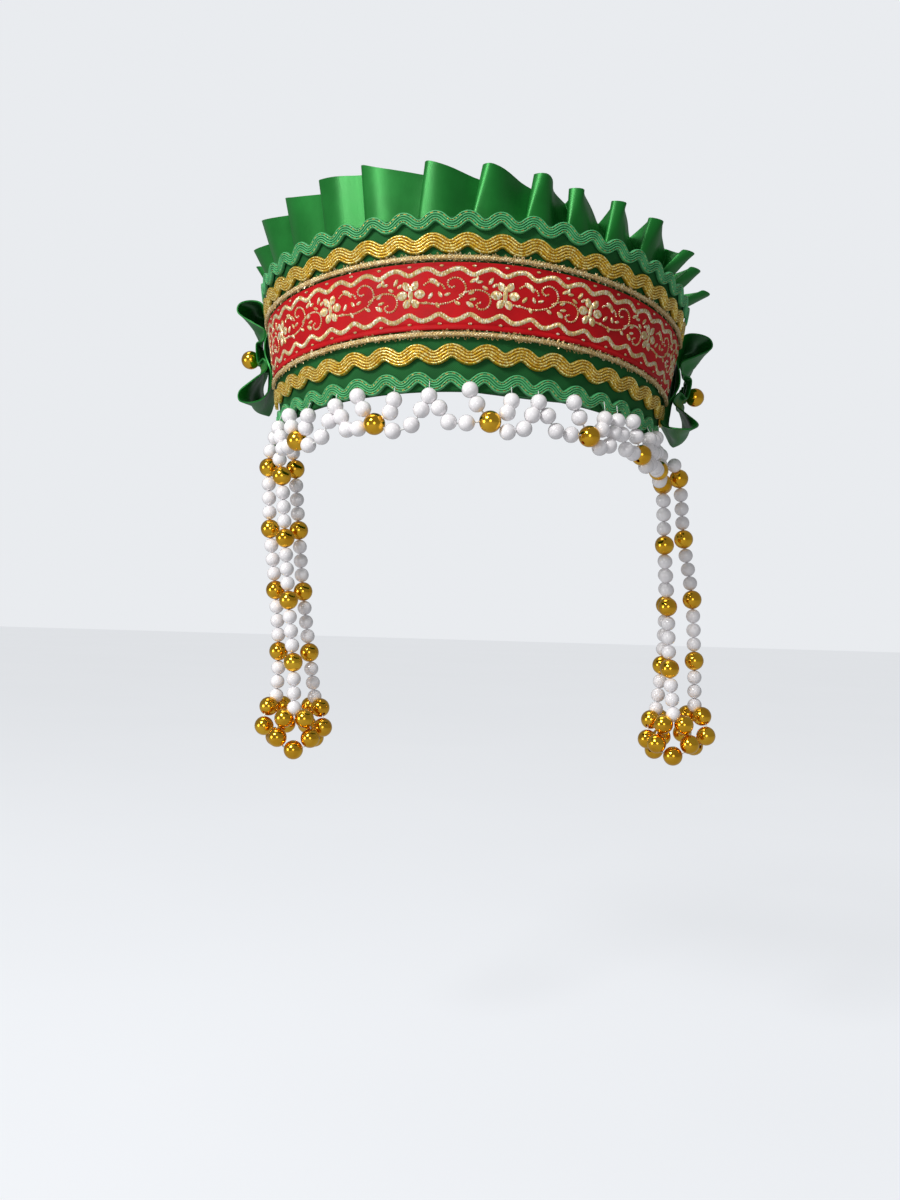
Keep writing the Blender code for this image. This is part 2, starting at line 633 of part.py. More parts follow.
def pearl_net(finish):
    """The zigzag of pearls between gold beads, with two short strings from each bead up to the rim."""
    run = PEARL / 2 * PEARL_RUN_SHARE
    gold_drop = NET_TOP + NET_DEPTH
    centres = [net_point(NET_LEFT_END, NET_TOP)]
    radii = [run]
    for k, gold in enumerate(NET_GOLD):
        before = NET_PEARLS[k]
        after = NET_PEARLS[k + 1]
        centres.append(net_point(before, NET_TOP))
        radii.append(run)
        for share, depth in NET_FALL:
            centres.append(net_point(before + share * (gold - before), NET_TOP + depth * NET_DEPTH))
            radii.append(run)
        bead = net_point(gold, gold_drop)
        onward = (net_point(gold + NET_CLIMB[0][0] * (after - gold), NET_TOP + NET_CLIMB[0][1] * NET_DEPTH)
                  - centres[-1]).normalized()
        for share, radius in gold_profile(GOLD_BEAD, run * NET_GOLD_HOLE_SHARE):
            centres.append(bead + onward * ((share - 0.5) * GOLD_BEAD))
            radii.append(radius)
        for share, depth in NET_CLIMB:
            centres.append(net_point(gold + share * (after - gold), NET_TOP + depth * NET_DEPTH))
            radii.append(run)
    centres.append(net_point(NET_PEARLS[-1], NET_TOP))
    radii.append(run)
    net = loft("pearl_net", tube_rings(centres, radii), finish, smooth=True)
    shell = bmesh.new()
    for gold in NET_GOLD:
        for reach in NET_BRANCHES:
            low = net_point(gold, gold_drop)
            high = net_point(gold + reach, BRANCH_TOP)
            way = (high - low).normalized()
            radii = [run * NET_BRANCH_LOW_SHARE, run * NET_BRANCH_HIGH_SHARE]
            rings = tube_rings([low + way * NET_BRANCH_START, high], radii, NET_BRANCH_SIDES)
            first, second = [[shell.verts.new(point) for point in ring] for ring in rings]
            shell.faces.new(first)
            shell.faces.new(second)
            for i in range(NET_BRANCH_SIDES):
                j = (i + 1) % NET_BRANCH_SIDES
                shell.faces.new((first[i], first[j], second[j], second[i]))
    bmesh.ops.recalc_face_normals(shell, faces=shell.faces)
    mesh = bpy.data.meshes.new("net_branches")
    shell.to_mesh(mesh)
    shell.free()
    branches = bpy.data.objects.new("net_branches", mesh)
    bpy.context.scene.collection.objects.link(branches)
    branches.hide_render = True
    branches.display_type = "WIRE"
    join = net.modifiers.new("branches", "BOOLEAN")
    join.operation = "UNION"
    join.object = branches
    join.use_self = True
    return net


def bow_bead(side, finish):
    """The gold bead on the knot of a bow."""
    bow = BOWS[side]
    knot_face = bow["stand_off"] + SATIN_WALL + SEWN_GAP + BOW_KNOT_THICKNESS + RIBBON_CROWN
    knot_face += bow["knot_lift"]
    place = bow_point(side, 0.0, 0.0, knot_face + SEWN_GAP + GOLD_BEAD / 2)
    shell = bmesh.new()
    bmesh.ops.create_uvsphere(shell, u_segments=12, v_segments=6, radius=GOLD_BEAD / 2)
    mesh = bpy.data.meshes.new(f"bow_bead_{side}")
    shell.to_mesh(mesh)
    shell.free()
    mesh.materials.append(finish)
    mesh.shade_smooth()
    bead = bpy.data.objects.new(f"bow_bead_{side}", mesh)
    bead.location = place
    bpy.context.scene.collection.objects.link(bead)
    return bead


def build():
    """Clear the scene and make every piece of the headdress."""
    for piece in list(bpy.data.objects):
        bpy.data.objects.remove(piece, do_unlink=True)
    dark_green = material("dark_green_cloth", (0.012, 0.085, 0.022), 0.85)
    satin = material("green_satin", (0.015, 0.22, 0.04), 0.35)
    red = material("red_jacquard", (0.55, 0.012, 0.02), 0.7)
    gold_braid = material("gold_lurex", (0.75, 0.55, 0.25), 0.45, 0.4)
    gold_ricrac = material("gold_ricrac", (0.80, 0.50, 0.06), 0.4, 0.5)
    green_ricrac = material("green_ricrac", (0.05, 0.42, 0.14), 0.6)
    pearl = material("pearl", (0.90, 0.88, 0.84), 0.25)
    gold_bead = material("gold_bead", (0.85, 0.58, 0.06), 0.15, 1.0)
    rubber = material("green_elastic", (0.015, 0.12, 0.03), 0.8)

    crown_band(dark_green)
    jacquard_ribbon(red)
    ribbon_top = RIBBON_FOOT + RIBBON_WIDTH
    lower_braid = RIBBON_FOOT - SEWN_GAP - BRAID_DIAMETER / 2
    upper_braid = ribbon_top + SEWN_GAP + BRAID_DIAMETER / 2
    braid("braid_lower", lower_braid, gold_braid)
    braid("braid_upper", upper_braid, gold_braid)
    ricrac_height = RICRAC_STRAND + RICRAC_SWING
    gold_low = lower_braid - BRAID_DIAMETER / 2 - SEWN_GAP - ricrac_height
    gold_high = upper_braid + BRAID_DIAMETER / 2 + SEWN_GAP
    green_high = BAND_HEIGHT + UPPER_EDGE_OVERHANG - ricrac_height
    ricrac("ricrac_gold_lower", gold_low, GOLD_RICRAC_PITCH, LOWER_RICRAC_PHASE, gold_ricrac)
    ricrac("ricrac_gold_upper", gold_high, GOLD_RICRAC_PITCH, UPPER_RICRAC_PHASE, gold_ricrac)
    ricrac("ricrac_green_lower", -LOWER_EDGE_OVERHANG, GREEN_RICRAC_PITCH, LOWER_RICRAC_PHASE, green_ricrac)
    ricrac("ricrac_green_upper", green_high, GREEN_RICRAC_PITCH, UPPER_RICRAC_PHASE, green_ricrac)
    ruffle(satin)
    elastic(rubber)
    for side in BOWS:
        bow_loops(side, satin)
        bow_bead(side, gold_bead)
    bow_tail("left", satin)
    for name, (points, facing) in STRAND_ROUTES.items():
        strand(f"strand_{name}", points, facing, pearl)
    pearl_net(pearl)


build()
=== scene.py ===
# %% [markdown]
# # A kokoshnik headdress of satin, lurex braid, ric-rac and beads
# The stiff crown, its trims, the pleated ruffle, the bows and the bead net are each made in a cell of
# their own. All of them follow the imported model, which is loaded first as a fixed frame.

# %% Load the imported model
import math
import random

import bpy
import numpy as np
from mathutils import Matrix, Vector


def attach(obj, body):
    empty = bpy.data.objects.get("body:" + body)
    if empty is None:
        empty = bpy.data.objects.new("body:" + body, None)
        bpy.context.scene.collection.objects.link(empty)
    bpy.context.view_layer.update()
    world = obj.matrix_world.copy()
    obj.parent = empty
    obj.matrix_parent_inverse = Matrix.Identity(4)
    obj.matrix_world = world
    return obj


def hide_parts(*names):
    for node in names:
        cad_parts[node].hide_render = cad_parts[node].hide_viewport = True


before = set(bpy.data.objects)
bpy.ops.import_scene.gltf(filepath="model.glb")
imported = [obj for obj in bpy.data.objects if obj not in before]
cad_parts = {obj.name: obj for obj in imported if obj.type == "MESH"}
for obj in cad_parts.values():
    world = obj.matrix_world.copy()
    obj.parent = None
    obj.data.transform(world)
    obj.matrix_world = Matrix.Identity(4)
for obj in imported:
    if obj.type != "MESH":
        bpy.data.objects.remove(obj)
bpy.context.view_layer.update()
print("solids:", len(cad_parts))

# %% [markdown]
# ## Camera, floor and light
# The picture was taken from the front at the height of the pendants, so the camera looks level and the
# crown shows its underside a little. One large soft light stands to the left and above, as in a small
# photo studio, and weaker ones shine from the front, from above and from the far left.

# %% Camera
CAMERA_PLACE = Vector((-0.0032, -0.5213, -0.0673))
CAMERA_ROLL = 0.029
camera_data = bpy.data.cameras.new("camera")
camera_data.lens = 37.11
camera_data.sensor_width = 36.0
camera = bpy.data.objects.new("camera", camera_data)
right = Vector((math.cos(CAMERA_ROLL), 0.0, math.sin(CAMERA_ROLL)))
up = Vector((-math.sin(CAMERA_ROLL), 0.0, math.cos(CAMERA_ROLL)))
turned = Matrix((right, up, right.cross(up))).transposed()
camera.matrix_world = Matrix.Translation(CAMERA_PLACE) @ turned.to_4x4()
bpy.context.scene.collection.objects.link(camera)
bpy.context.scene.camera = camera
bpy.context.scene.view_settings.view_transform = "Standard"
print("camera looks level from", round(-CAMERA_PLACE.y, 3), "m in front")

# %% Floor and lights
FLOOR_LEVEL = -0.275
floor_mesh = bpy.data.meshes.new("floor")
floor_mesh.from_pydata([(x, y, FLOOR_LEVEL) for x, y in ((-6, -6), (6, -6), (6, 6), (-6, 6))], [], [(0, 1, 2, 3)])
floor = bpy.data.objects.new("floor", floor_mesh)
bpy.context.scene.collection.objects.link(floor)

LIGHTS = {
    "key": {"place": (-0.62, -0.80, 0.72), "size": 0.32, "watts": 12.5},
    "front": {"place": (0.05, -1.3, 0.05), "size": 0.5, "watts": 1.6},
    "top": {"place": (-0.3, 0.1, 1.2), "size": 0.7, "watts": 3.5},
    "left": {"place": (-1.2, -0.55, -0.05), "size": 0.5, "watts": 3.0},
}
AIM = Vector((0.0, -0.02, 0.0))
SKY_LIGHT = 0.30
PAPER_LIGHT = 0.95
for name, lamp in LIGHTS.items():
    light = bpy.data.lights.new(name, "AREA")
    light.shape = "DISK"
    light.size = lamp["size"]
    light.energy = lamp["watts"]
    holder = bpy.data.objects.new(name, light)
    holder.location = lamp["place"]
    holder.rotation_euler = (AIM - holder.location).to_track_quat("-Z", "Y").to_euler()
    bpy.context.scene.collection.objects.link(holder)

world = bpy.data.worlds.new("studio")
bpy.context.scene.world = world
world.use_nodes = True
sky = world.node_tree.nodes["Background"]
sky.inputs["Color"].default_value = (0.86, 0.88, 0.91, 1.0)
sky.inputs["Strength"].default_value = SKY_LIGHT
paper = world.node_tree.nodes.new("ShaderNodeBackground")
paper.inputs["Color"].default_value = (0.86, 0.88, 0.91, 1.0)
paper.inputs["Strength"].default_value = PAPER_LIGHT
seen = world.node_tree.nodes.new("ShaderNodeLightPath").outputs["Is Camera Ray"]
choice = world.node_tree.nodes.new("ShaderNodeMixShader")
world.node_tree.links.new(seen, choice.inputs[0])
world.node_tree.links.new(sky.outputs[0], choice.inputs[1])
world.node_tree.links.new(paper.outputs[0], choice.inputs[2])
world.node_tree.links.new(choice.outputs[0], world.node_tree.nodes["World Output"].inputs["Surface"])
print("lights:", len(LIGHTS))

# %% [markdown]
# ## Shader nodes in a few words
# A material here is a small graph. Two helpers keep the cells short: one adds any node and fills its
# inputs, the other does one step of arithmetic. Effects that more than one cloth or thread shows are
# node groups: an uneven tone, the lines of threads, a plain weave and the glint of metal thread.

# %% Helpers for nodes
def add(tree, kind, values=(), **settings):
    """Add a node, set its own properties, and fill its inputs with numbers, colours or sockets."""
    made = tree.nodes.new(kind)
    for key, value in settings.items():
        setattr(made, key, value)
    for key, value in (values.items() if isinstance(values, dict) else enumerate(values)):
        if isinstance(value, bpy.types.NodeSocket):
            tree.links.new(value, made.inputs[key])
        else:
            made.inputs[key].default_value = value
    return made


def calc(tree, operation, *values):
    """One Math node's result."""
    return add(tree, "ShaderNodeMath", values, operation=operation).outputs[0]


def mix(tree, share, first, second):
    """A blend of two colours."""
    values = {0: share, 6: first, 7: second}
    return add(tree, "ShaderNodeMix", values, data_type="RGBA").outputs[2]


def group(name, inputs, outputs):
    """An empty node group with named inputs and outputs."""
    tree = bpy.data.node_groups.new(name, "ShaderNodeTree")
    for label, kind in inputs.items():
        tree.interface.new_socket(label, in_out="INPUT", socket_type=kind)
    for label in outputs:
        tree.interface.new_socket(label, in_out="OUTPUT", socket_type="NodeSocketFloat")
    return tree, tree.nodes.new("NodeGroupInput").outputs, tree.nodes.new("NodeGroupOutput").inputs


def use(tree, used, values):
    """Place a node group in a material and return its outputs."""
    return add(tree, "ShaderNodeGroup", values, node_tree=used).outputs


# %% Uneven tone
# Inputs are a place in metres and the size of the patches. The mask drifts softly between 0 and 1.
uneven_tone, given, result = group(
    "uneven tone", {"Place": "NodeSocketVector", "Patches per metre": "NodeSocketFloat"}, ("Mask",))
cloud = add(uneven_tone, "ShaderNodeTexNoise",
            {"Vector": given["Place"], "Scale": given["Patches per metre"], "Detail": 3.0}).outputs[0]
spread_cloud = add(uneven_tone, "ShaderNodeMapRange", (cloud, 0.3, 0.7, 0.0, 1.0)).outputs[0]
uneven_tone.links.new(spread_cloud, result["Mask"])

# %% Lines of threads
# The lay of a cloth is stored with each piece: millimetres along it and across it. Threads that lie
# side by side are round ridges across the lay, and a slant turns them into a twist.
thread_lines, given, result = group(
    "thread lines",
    {"Lay": "NodeSocketVector", "Threads per mm": "NodeSocketFloat", "Slant": "NodeSocketFloat"},
    ("Height",))
parts = add(thread_lines, "ShaderNodeSeparateXYZ", (given["Lay"],)).outputs
slanted = calc(thread_lines, "ADD", parts["Y"], calc(thread_lines, "MULTIPLY", parts["X"], given["Slant"]))
phase = calc(thread_lines, "MULTIPLY", calc(thread_lines, "MULTIPLY", slanted, given["Threads per mm"]), math.pi)
ridge = calc(thread_lines, "ABSOLUTE", calc(thread_lines, "SINE", phase))
thread_lines.links.new(ridge, result["Height"])

# %% Plain weave
plain_weave, given, result = group(
    "plain weave", {"Lay": "NodeSocketVector", "Threads per mm": "NodeSocketFloat"}, ("Height",))
parts = add(plain_weave, "ShaderNodeSeparateXYZ", (given["Lay"],)).outputs
waves = []
for axis in ("X", "Y"):
    step = calc(plain_weave, "MULTIPLY", parts[axis], given["Threads per mm"])
    waves.append(calc(plain_weave, "SINE", calc(plain_weave, "MULTIPLY", step, math.pi)))
crossing = calc(plain_weave, "MULTIPLY", waves[0], waves[1])
plain_weave.links.new(calc(plain_weave, "MULTIPLY_ADD", crossing, 0.5, 0.5), result["Height"])

# %% Glint of metal thread
# Lurex is a flat foil yarn. It twists, so short lengths of it face the light and the next ones don't.
foil_glint, given, result = group(
    "foil glint",
    {"Lay": "NodeSocketVector", "Flakes along": "NodeSocketFloat", "Flakes across": "NodeSocketFloat"},
    ("Glint", "Tone"))
parts = add(foil_glint, "ShaderNodeSeparateXYZ", (given["Lay"],)).outputs
cells = []
for axis, count in (("X", "Flakes along"), ("Y", "Flakes across")):
    cells.append(calc(foil_glint, "MULTIPLY", parts[axis], given[count]))
place = add(foil_glint, "ShaderNodeCombineXYZ", cells).outputs[0]
flakes = add(foil_glint, "ShaderNodeTexVoronoi", {"Vector": place, "Scale": 1.0}, voronoi_dimensions="2D")
chance = add(foil_glint, "ShaderNodeSeparateColor", (flakes.outputs["Color"],)).outputs[0]
lit = add(foil_glint, "ShaderNodeMapRange", (chance, 0.62, 0.72, 0.0, 1.0)).outputs[0]
foil_glint.links.new(lit, result["Glint"])
foil_glint.links.new(chance, result["Tone"])
print("node groups:", [tree.name for tree in bpy.data.node_groups])

# %% [markdown]
# ## The crown as a surface
# Everything sewn to the crown is drawn flat first: how far round it, how high up its slant and how far
# out from its cloth. One function bends that flat drawing round the head, so a braid keeps its pitch
# and a ribbon its width. The numbers repeat those of the solid crown.

# %% Crown surface
RIM_RADIUS = 0.0751
TIP_BACK = 0.350
FLARE_FRONT = 0.311
FLARE_LEFT = 0.150
FLARE_RIGHT = 0.230
FLARE_BACK = -0.150
SIDE_LIFT = 0.0130
BACK_LIFT = 0.0063
RIGHT_END_OUT = 0.0045
RIGHT_END_DROP = 0.0040
BAND_HALF_LENGTH = 0.130
BAND_HEIGHT = 0.064
BAND_WALL = 0.0020
SEWN_GAP = 0.0004


def crown_points(turn, height, out):
    """Points of the crown for arrays of turns from the front, heights up the slant and distances out."""
    turn, height, out = np.broadcast_arrays(turn, height, out)
    facing = np.cos(turn)
    side = np.where(np.sin(turn) > 0, FLARE_RIGHT, FLARE_LEFT)
    flare = np.where(facing < 0, FLARE_BACK + (side - FLARE_BACK) * np.abs(np.sin(turn)),
                     FLARE_FRONT + (side - FLARE_FRONT) * (1 - facing))
    right_end = np.maximum(0.0, np.sin(turn)) * np.minimum(1.0, 1 - facing)
    radius = RIM_RADIUS + height * np.sin(flare) + out * np.cos(flare) + RIGHT_END_OUT * right_end
    lift = height * np.cos(flare) - out * np.sin(flare)
    lift = lift + SIDE_LIFT * (1 - facing) + BACK_LIFT * (1 - facing) ** 2 - SIDE_LIFT - BACK_LIFT
    lift = lift - RIGHT_END_DROP * right_end ** 2
    back = -radius * facing
    return np.stack([radius * np.sin(turn),
                     back * math.cos(TIP_BACK) + lift * math.sin(TIP_BACK),
                     lift * math.cos(TIP_BACK) - back * math.sin(TIP_BACK)], axis=-1)


LEVELS = {}


def level_line(height, out):
    """Lengths and turns along a level line round the crown, counted from the front."""
    key = (round(float(height), 6), round(float(out), 6))
    if key not in LEVELS:
        turns = np.linspace(-math.radians(150), math.radians(150), 2401)
        points = crown_points(turns, height, out)
        lengths = np.concatenate(([0.0], np.cumsum(np.linalg.norm(np.diff(points, axis=0), axis=1))))
        LEVELS[key] = (lengths - lengths[len(turns) // 2], turns)
    return LEVELS[key]


def turn_at(arc, height=0.0, out=0.0):
    """The turn where a level line has run a length from the front."""
    lengths, turns = level_line(height, out)
    return np.interp(arc, lengths, turns)


def length_at(turn, height=0.0, out=0.0):
    """The length of a level line from the front to a turn."""
    lengths, turns = level_line(height, out)
    return np.interp(turn, turns, lengths)


def wrap(flat, level):
    """Bend flat points, as lengths round, heights and distances out, round the crown at a level."""
    flat = np.asarray(flat, float)
    return crown_points(turn_at(flat[..., 0], level), flat[..., 1], flat[..., 2])


print("rim length between the band's ends:", round(2 * BAND_HALF_LENGTH * 1000), "mm")

# %% [markdown]
# ## Skins, tubes and beads
# Cloth, braid and thread are all grids of points with faces between them. A grid that closes round
# makes a wall with two faces or a tube. Each grid carries its lay in millimetres as a UV map, which the
# thread patterns read.

# %% Mesh helpers
def grid_faces(rows, columns, ring, capped, start=0):
    """Faces between the points of a grid, numbered from a start."""
    faces = []
    span = columns if ring else columns - 1
    for i in range(rows - 1):
        for j in range(span):
            a = start + i * columns + j
            b = start + i * columns + (j + 1) % columns
            faces.append((a, b, b + columns, a + columns))
    if capped:
        faces.append(tuple(start + j for j in reversed(range(columns))))
        faces.append(tuple(start + (rows - 1) * columns + j for j in range(columns)))
    return faces


def make_piece(name, points, faces, finish, lay):
    """A smooth mesh object that rides on the body, with its lay in millimetres."""
    mesh = bpy.data.meshes.new(name)
    mesh.from_pydata(points.reshape(-1, 3).tolist(), [], faces)
    layer = mesh.uv_layers.new(name="lay")
    corners = np.empty(len(mesh.loops), dtype=np.int32)
    mesh.loops.foreach_get("vertex_index", corners)
    layer.uv.foreach_set("vector", np.asarray(lay, np.float32).reshape(-1, 2)[corners].ravel())
    mesh.materials.append(finish)
    mesh.shade_smooth()
    mesh.set_sharp_from_angle(angle=math.radians(60))
    piece = bpy.data.objects.new(name, mesh)
    bpy.context.scene.collection.objects.link(piece)
    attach(piece, "root")
    return piece


def outward(faces, points):
    """Turn a closed skin's faces round if they look inwards."""
    points = np.asarray(points).reshape(-1, 3)
    total = 0.0
    middle = points.mean(0)
    for face in faces:
        a, b, c = (points[face[k]] - middle for k in (0, 1, 2))
        total += np.dot(a, np.cross(b, c))
        if len(face) == 4:
            a, b, c = (points[face[k]] - middle for k in (0, 2, 3))
            total += np.dot(a, np.cross(b, c))
    return faces if total > 0 else [face[::-1] for face in faces]


def skin(name, points, finish, lay, capped=True):
    """One closed skin from a grid whose every row is a ring round the piece."""
    rows, columns = points.shape[:2]
    faces = outward(grid_faces(rows, columns, True, capped), points)
    return make_piece(name, points, faces, finish, lay)


def several(name, shapes, finish):
    """Many closed shapes as one piece. Each is its points, its faces and its lay."""
    points, faces, lays = [], [], []
    count = 0
    for shape_points, shape_faces, lay in shapes:
        flat = np.asarray(shape_points, float).reshape(-1, 3)
        points.append(flat)
        lays.append(np.asarray(lay, float).reshape(-1, 2))
        faces.extend(tuple(count + corner for corner in face) for face in shape_faces)
        count += len(flat)
    return make_piece(name, np.concatenate(points), faces, finish, np.concatenate(lays))


def smooth_line(points, steps, closed=False):
    """A smooth curve through points of any width of row."""
    points = np.asarray(points, float)
    if closed:
        padded = np.concatenate([points[-1:], points, points[:2]])
    else:
        padded = np.concatenate([2 * points[:1] - points[1:2], points, 2 * points[-1:] - points[-2:-1]])
    share = (np.arange(steps) / steps)[:, None]
    pieces = []
    for a, b, c, d in zip(padded, padded[1:], padded[2:], padded[3:]):
        pieces.append(0.5 * (2 * b + (c - a) * share + (2 * a - 5 * b + 4 * c - d) * share ** 2
                             + (3 * b - a - 3 * c + d) * share ** 3))
    if not closed:
        pieces.append(points[-1:])
    return np.concatenate(pieces)


def unit(vectors):
    """The vectors at length one."""
    return vectors / np.maximum(np.linalg.norm(vectors, axis=-1, keepdims=True), 1e-12)


def tube(points, radius, sides=8):
    """A round tube along points, turned as little as possible. Returns its grid."""
    points = np.asarray(points, float)
    ways = unit(np.gradient(points, axis=0))
    guide = np.cross(ways[0], (0.0, 0.0, 1.0) if abs(ways[0][2]) < 0.8 else (1.0, 0.0, 0.0))
    angles = math.tau * np.arange(sides) / sides
    rings = []
    for point, way, wide in zip(points, ways, np.broadcast_to(radius, len(points))):
        guide = guide - way * np.dot(guide, way)
        guide = guide / np.linalg.norm(guide)
        other = np.cross(way, guide)
        rings.append(point + wide * (np.cos(angles)[:, None] * guide + np.sin(angles)[:, None] * other))
    return np.array(rings)


def tube_shape(points, radius, sides=8):
    """A capped round tube as a shape for several()."""
    rings = tube(points, radius, sides)
    along = np.concatenate(([0.0], np.cumsum(np.linalg.norm(np.diff(points, axis=0), axis=1)))) * 1000
    lay = np.stack(np.broadcast_arrays(along[:, None], np.arange(sides) * 0.3), axis=-1)
    return rings, grid_faces(len(rings), sides, True, True), lay

# %% [markdown]
# ## Finishes
# Satin throws a soft, coloured highlight because its long floating threads lie side by side, so it is
# partly metallic in its own green. The band's cloth is a dull weave. Lurex is a bright metal whose tone
# jumps from flake to flake. Each material sets its plain numbers on the shader itself.

# %% Start of every material
def new_finish(name, **numbers):
    """A material with its Principled shader's plain numbers set, and its tree and lay."""
    made = bpy.data.materials.new(name)
    made.use_nodes = True
    shader = made.node_tree.nodes["Principled BSDF"]
    for key, value in numbers.items():
        shader.inputs[key.replace("_", " ")].default_value = value
    lay = add(made.node_tree, "ShaderNodeUVMap", uv_map="lay").outputs[0]
    place = add(made.node_tree, "ShaderNodeTexCoord").outputs["Object"]
    return made, made.node_tree, shader, lay, place


def dress(tree, shader, colour=None, roughness=None, height=None, strength=0.5, distance=0.0002):
    """Join a colour, a roughness and a height to the shader."""
    if colour is not None:
        tree.links.new(colour, shader.inputs["Base Color"])
    if roughness is not None:
        tree.links.new(roughness, shader.inputs["Roughness"])
    if height is not None:
        values = {"Strength": strength, "Distance": distance, "Height": height}
        tree.links.new(add(tree, "ShaderNodeBump", values).outputs[0], shader.inputs["Normal"])


def scaled(tree, value, low, high):
    """A value from 0 to 1 brought between two numbers."""
    return add(tree, "ShaderNodeMapRange", (value, 0.0, 1.0, low, high)).outputs[0]

# %% Satin ribbon
def satin_finish(name, deep, bright):
    """Green satin: fine lengthwise threads, a drifting tone and a soft highlight in its own colour."""
    made, tree, shader, lay, place = new_finish(
        name, Metallic=0.35, Specular_IOR_Level=0.30)
    tone = use(tree, uneven_tone, {"Place": place, "Patches per metre": 60.0})["Mask"]
    threads = use(tree, thread_lines, {"Lay": lay, "Threads per mm": 3.2, "Slant": 0.0})["Height"]
    # The colour mixes a drifting tone with painted shade: darker in the grooves between the threads, lighter on
    # their crests.
    shade = calc(tree, "MULTIPLY_ADD", threads, 0.25, calc(tree, "MULTIPLY", tone, 0.75))
    dress(tree, shader, mix(tree, shade, deep, bright), scaled(tree, tone, 0.35, 0.43), threads, 0.12, 0.00008)
    return made


satin = satin_finish("satin", (0.005, 0.120, 0.014, 1), (0.012, 0.205, 0.028, 1))

# %% Cloth of the band
crown_cloth, tree, shader, lay, place = new_finish(
    "crown cloth", Specular_IOR_Level=0.15)
tone = use(tree, uneven_tone, {"Place": place, "Patches per metre": 90.0})["Mask"]
weave = use(tree, plain_weave, {"Lay": lay, "Threads per mm": 2.6})["Height"]
# The cloth's colour is darker in the gaps of the weave, a painted shade, and drifts a little in tone.
shade = calc(tree, "MULTIPLY_ADD", weave, 0.4, calc(tree, "MULTIPLY", tone, 0.6))
dress(tree, shader, mix(tree, shade, (0.006, 0.065, 0.014, 1), (0.016, 0.125, 0.030, 1)),
      scaled(tree, tone, 0.72, 0.88), weave, 0.35, 0.0001)

# %% Red ground of the jacquard ribbon
red_ground, tree, shader, lay, place = new_finish(
    "red ground", Specular_IOR_Level=0.15)
tone = use(tree, uneven_tone, {"Place": place, "Patches per metre": 110.0})["Mask"]
ribs = use(tree, thread_lines, {"Lay": lay, "Threads per mm": 2.4, "Slant": 0.0})["Height"]
weave = use(tree, plain_weave, {"Lay": lay, "Threads per mm": 4.0})["Height"]
relief = calc(tree, "MULTIPLY_ADD", ribs, 0.6, calc(tree, "MULTIPLY", weave, 0.4))
# The red is darker in the grooves between the ribs and in the gaps of the weave, a painted shade, and drifts a
# little in tone.
shade = calc(tree, "MULTIPLY_ADD", relief, 0.45, calc(tree, "MULTIPLY", tone, 0.55))
dress(tree, shader, mix(tree, shade, (0.30, 0.0015, 0.004, 1), (0.56, 0.005, 0.008, 1)),
      scaled(tree, tone, 0.52, 0.68), relief, 0.40, 0.0001)

# %% Gold threads
RICRAC_THREADS = 5 / 4.1


def lurex_finish(name, dark, middle, light, flakes, threads, roughness, bump):
    """Metal thread: foil flakes of differing tone over the ridges of its yarns, with painted shade between the
    yarns and a painted glint on the brightest flakes.
    """
    made, tree, shader, lay, place = new_finish(name, Metallic=0.55, Specular_IOR_Level=0.6)
    along, across, slant = flakes
    foil = use(tree, foil_glint, {"Lay": lay, "Flakes along": along, "Flakes across": across})
    yarn = use(tree, thread_lines, {"Lay": lay, "Threads per mm": threads, "Slant": slant})["Height"]
    base = mix(tree, foil["Tone"], dark, middle)
    # Painted shade: the grooves between the yarns are darker. Painted glint: the brightest flakes on the yarns'
    # crests turn to the light colour.
    shaded = mix(tree, calc(tree, "POWER", yarn, 0.7), dark, base)
    painted_glint_colour = mix(tree, calc(tree, "MULTIPLY", foil["Glint"], yarn), shaded, light)
    height = calc(tree, "MULTIPLY_ADD", foil["Tone"], 0.4, calc(tree, "MULTIPLY", yarn, 0.6))
    dress(tree, shader, painted_glint_colour, scaled(tree, foil["Tone"], roughness + 0.12, roughness - 0.08), height, bump, 0.00018)
    return made


gold_ricrac_finish = lurex_finish(
    "gold ric-rac yarn", (0.50, 0.270, 0.010, 1), (1.0, 0.720, 0.055, 1), (1.0, 0.95, 0.42, 1),
    (3.4, 3.0, 0.0), RICRAC_THREADS, 0.34, 1.0)
pattern_gold = lurex_finish(
    "woven gold pattern", (0.46, 0.300, 0.085, 1), (1.0, 0.820, 0.420, 1), (1.0, 0.98, 0.80, 1),
    (2.8, 1.0, 30.0), 0.09, 0.32, 1.0)
cord_gold = lurex_finish(
    "fuzzy lurex", (0.46, 0.290, 0.090, 1), (0.92, 0.680, 0.310, 1), (1.0, 0.92, 0.62, 1),
    (3.0, 3.0, 1.2), 1.6, 0.40, 0.8)

# %% Green ric-rac with gold dashes
green_ricrac_finish, tree, shader, lay, place = new_finish(
    "green ric-rac yarn", Specular_IOR_Level=0.45)
parts = add(tree, "ShaderNodeSeparateXYZ", (lay,)).outputs
yarn = use(tree, thread_lines, {"Lay": lay, "Threads per mm": RICRAC_THREADS, "Slant": 0.0})["Height"]
twist = use(tree, thread_lines, {"Lay": lay, "Threads per mm": 1.6, "Slant": 1.5})["Height"]
tone = use(tree, uneven_tone, {"Place": place, "Patches per metre": 260.0})["Mask"]
yarn = calc(tree, "MULTIPLY_ADD", yarn, 0.75, calc(tree, "MULTIPLY", twist, 0.25))
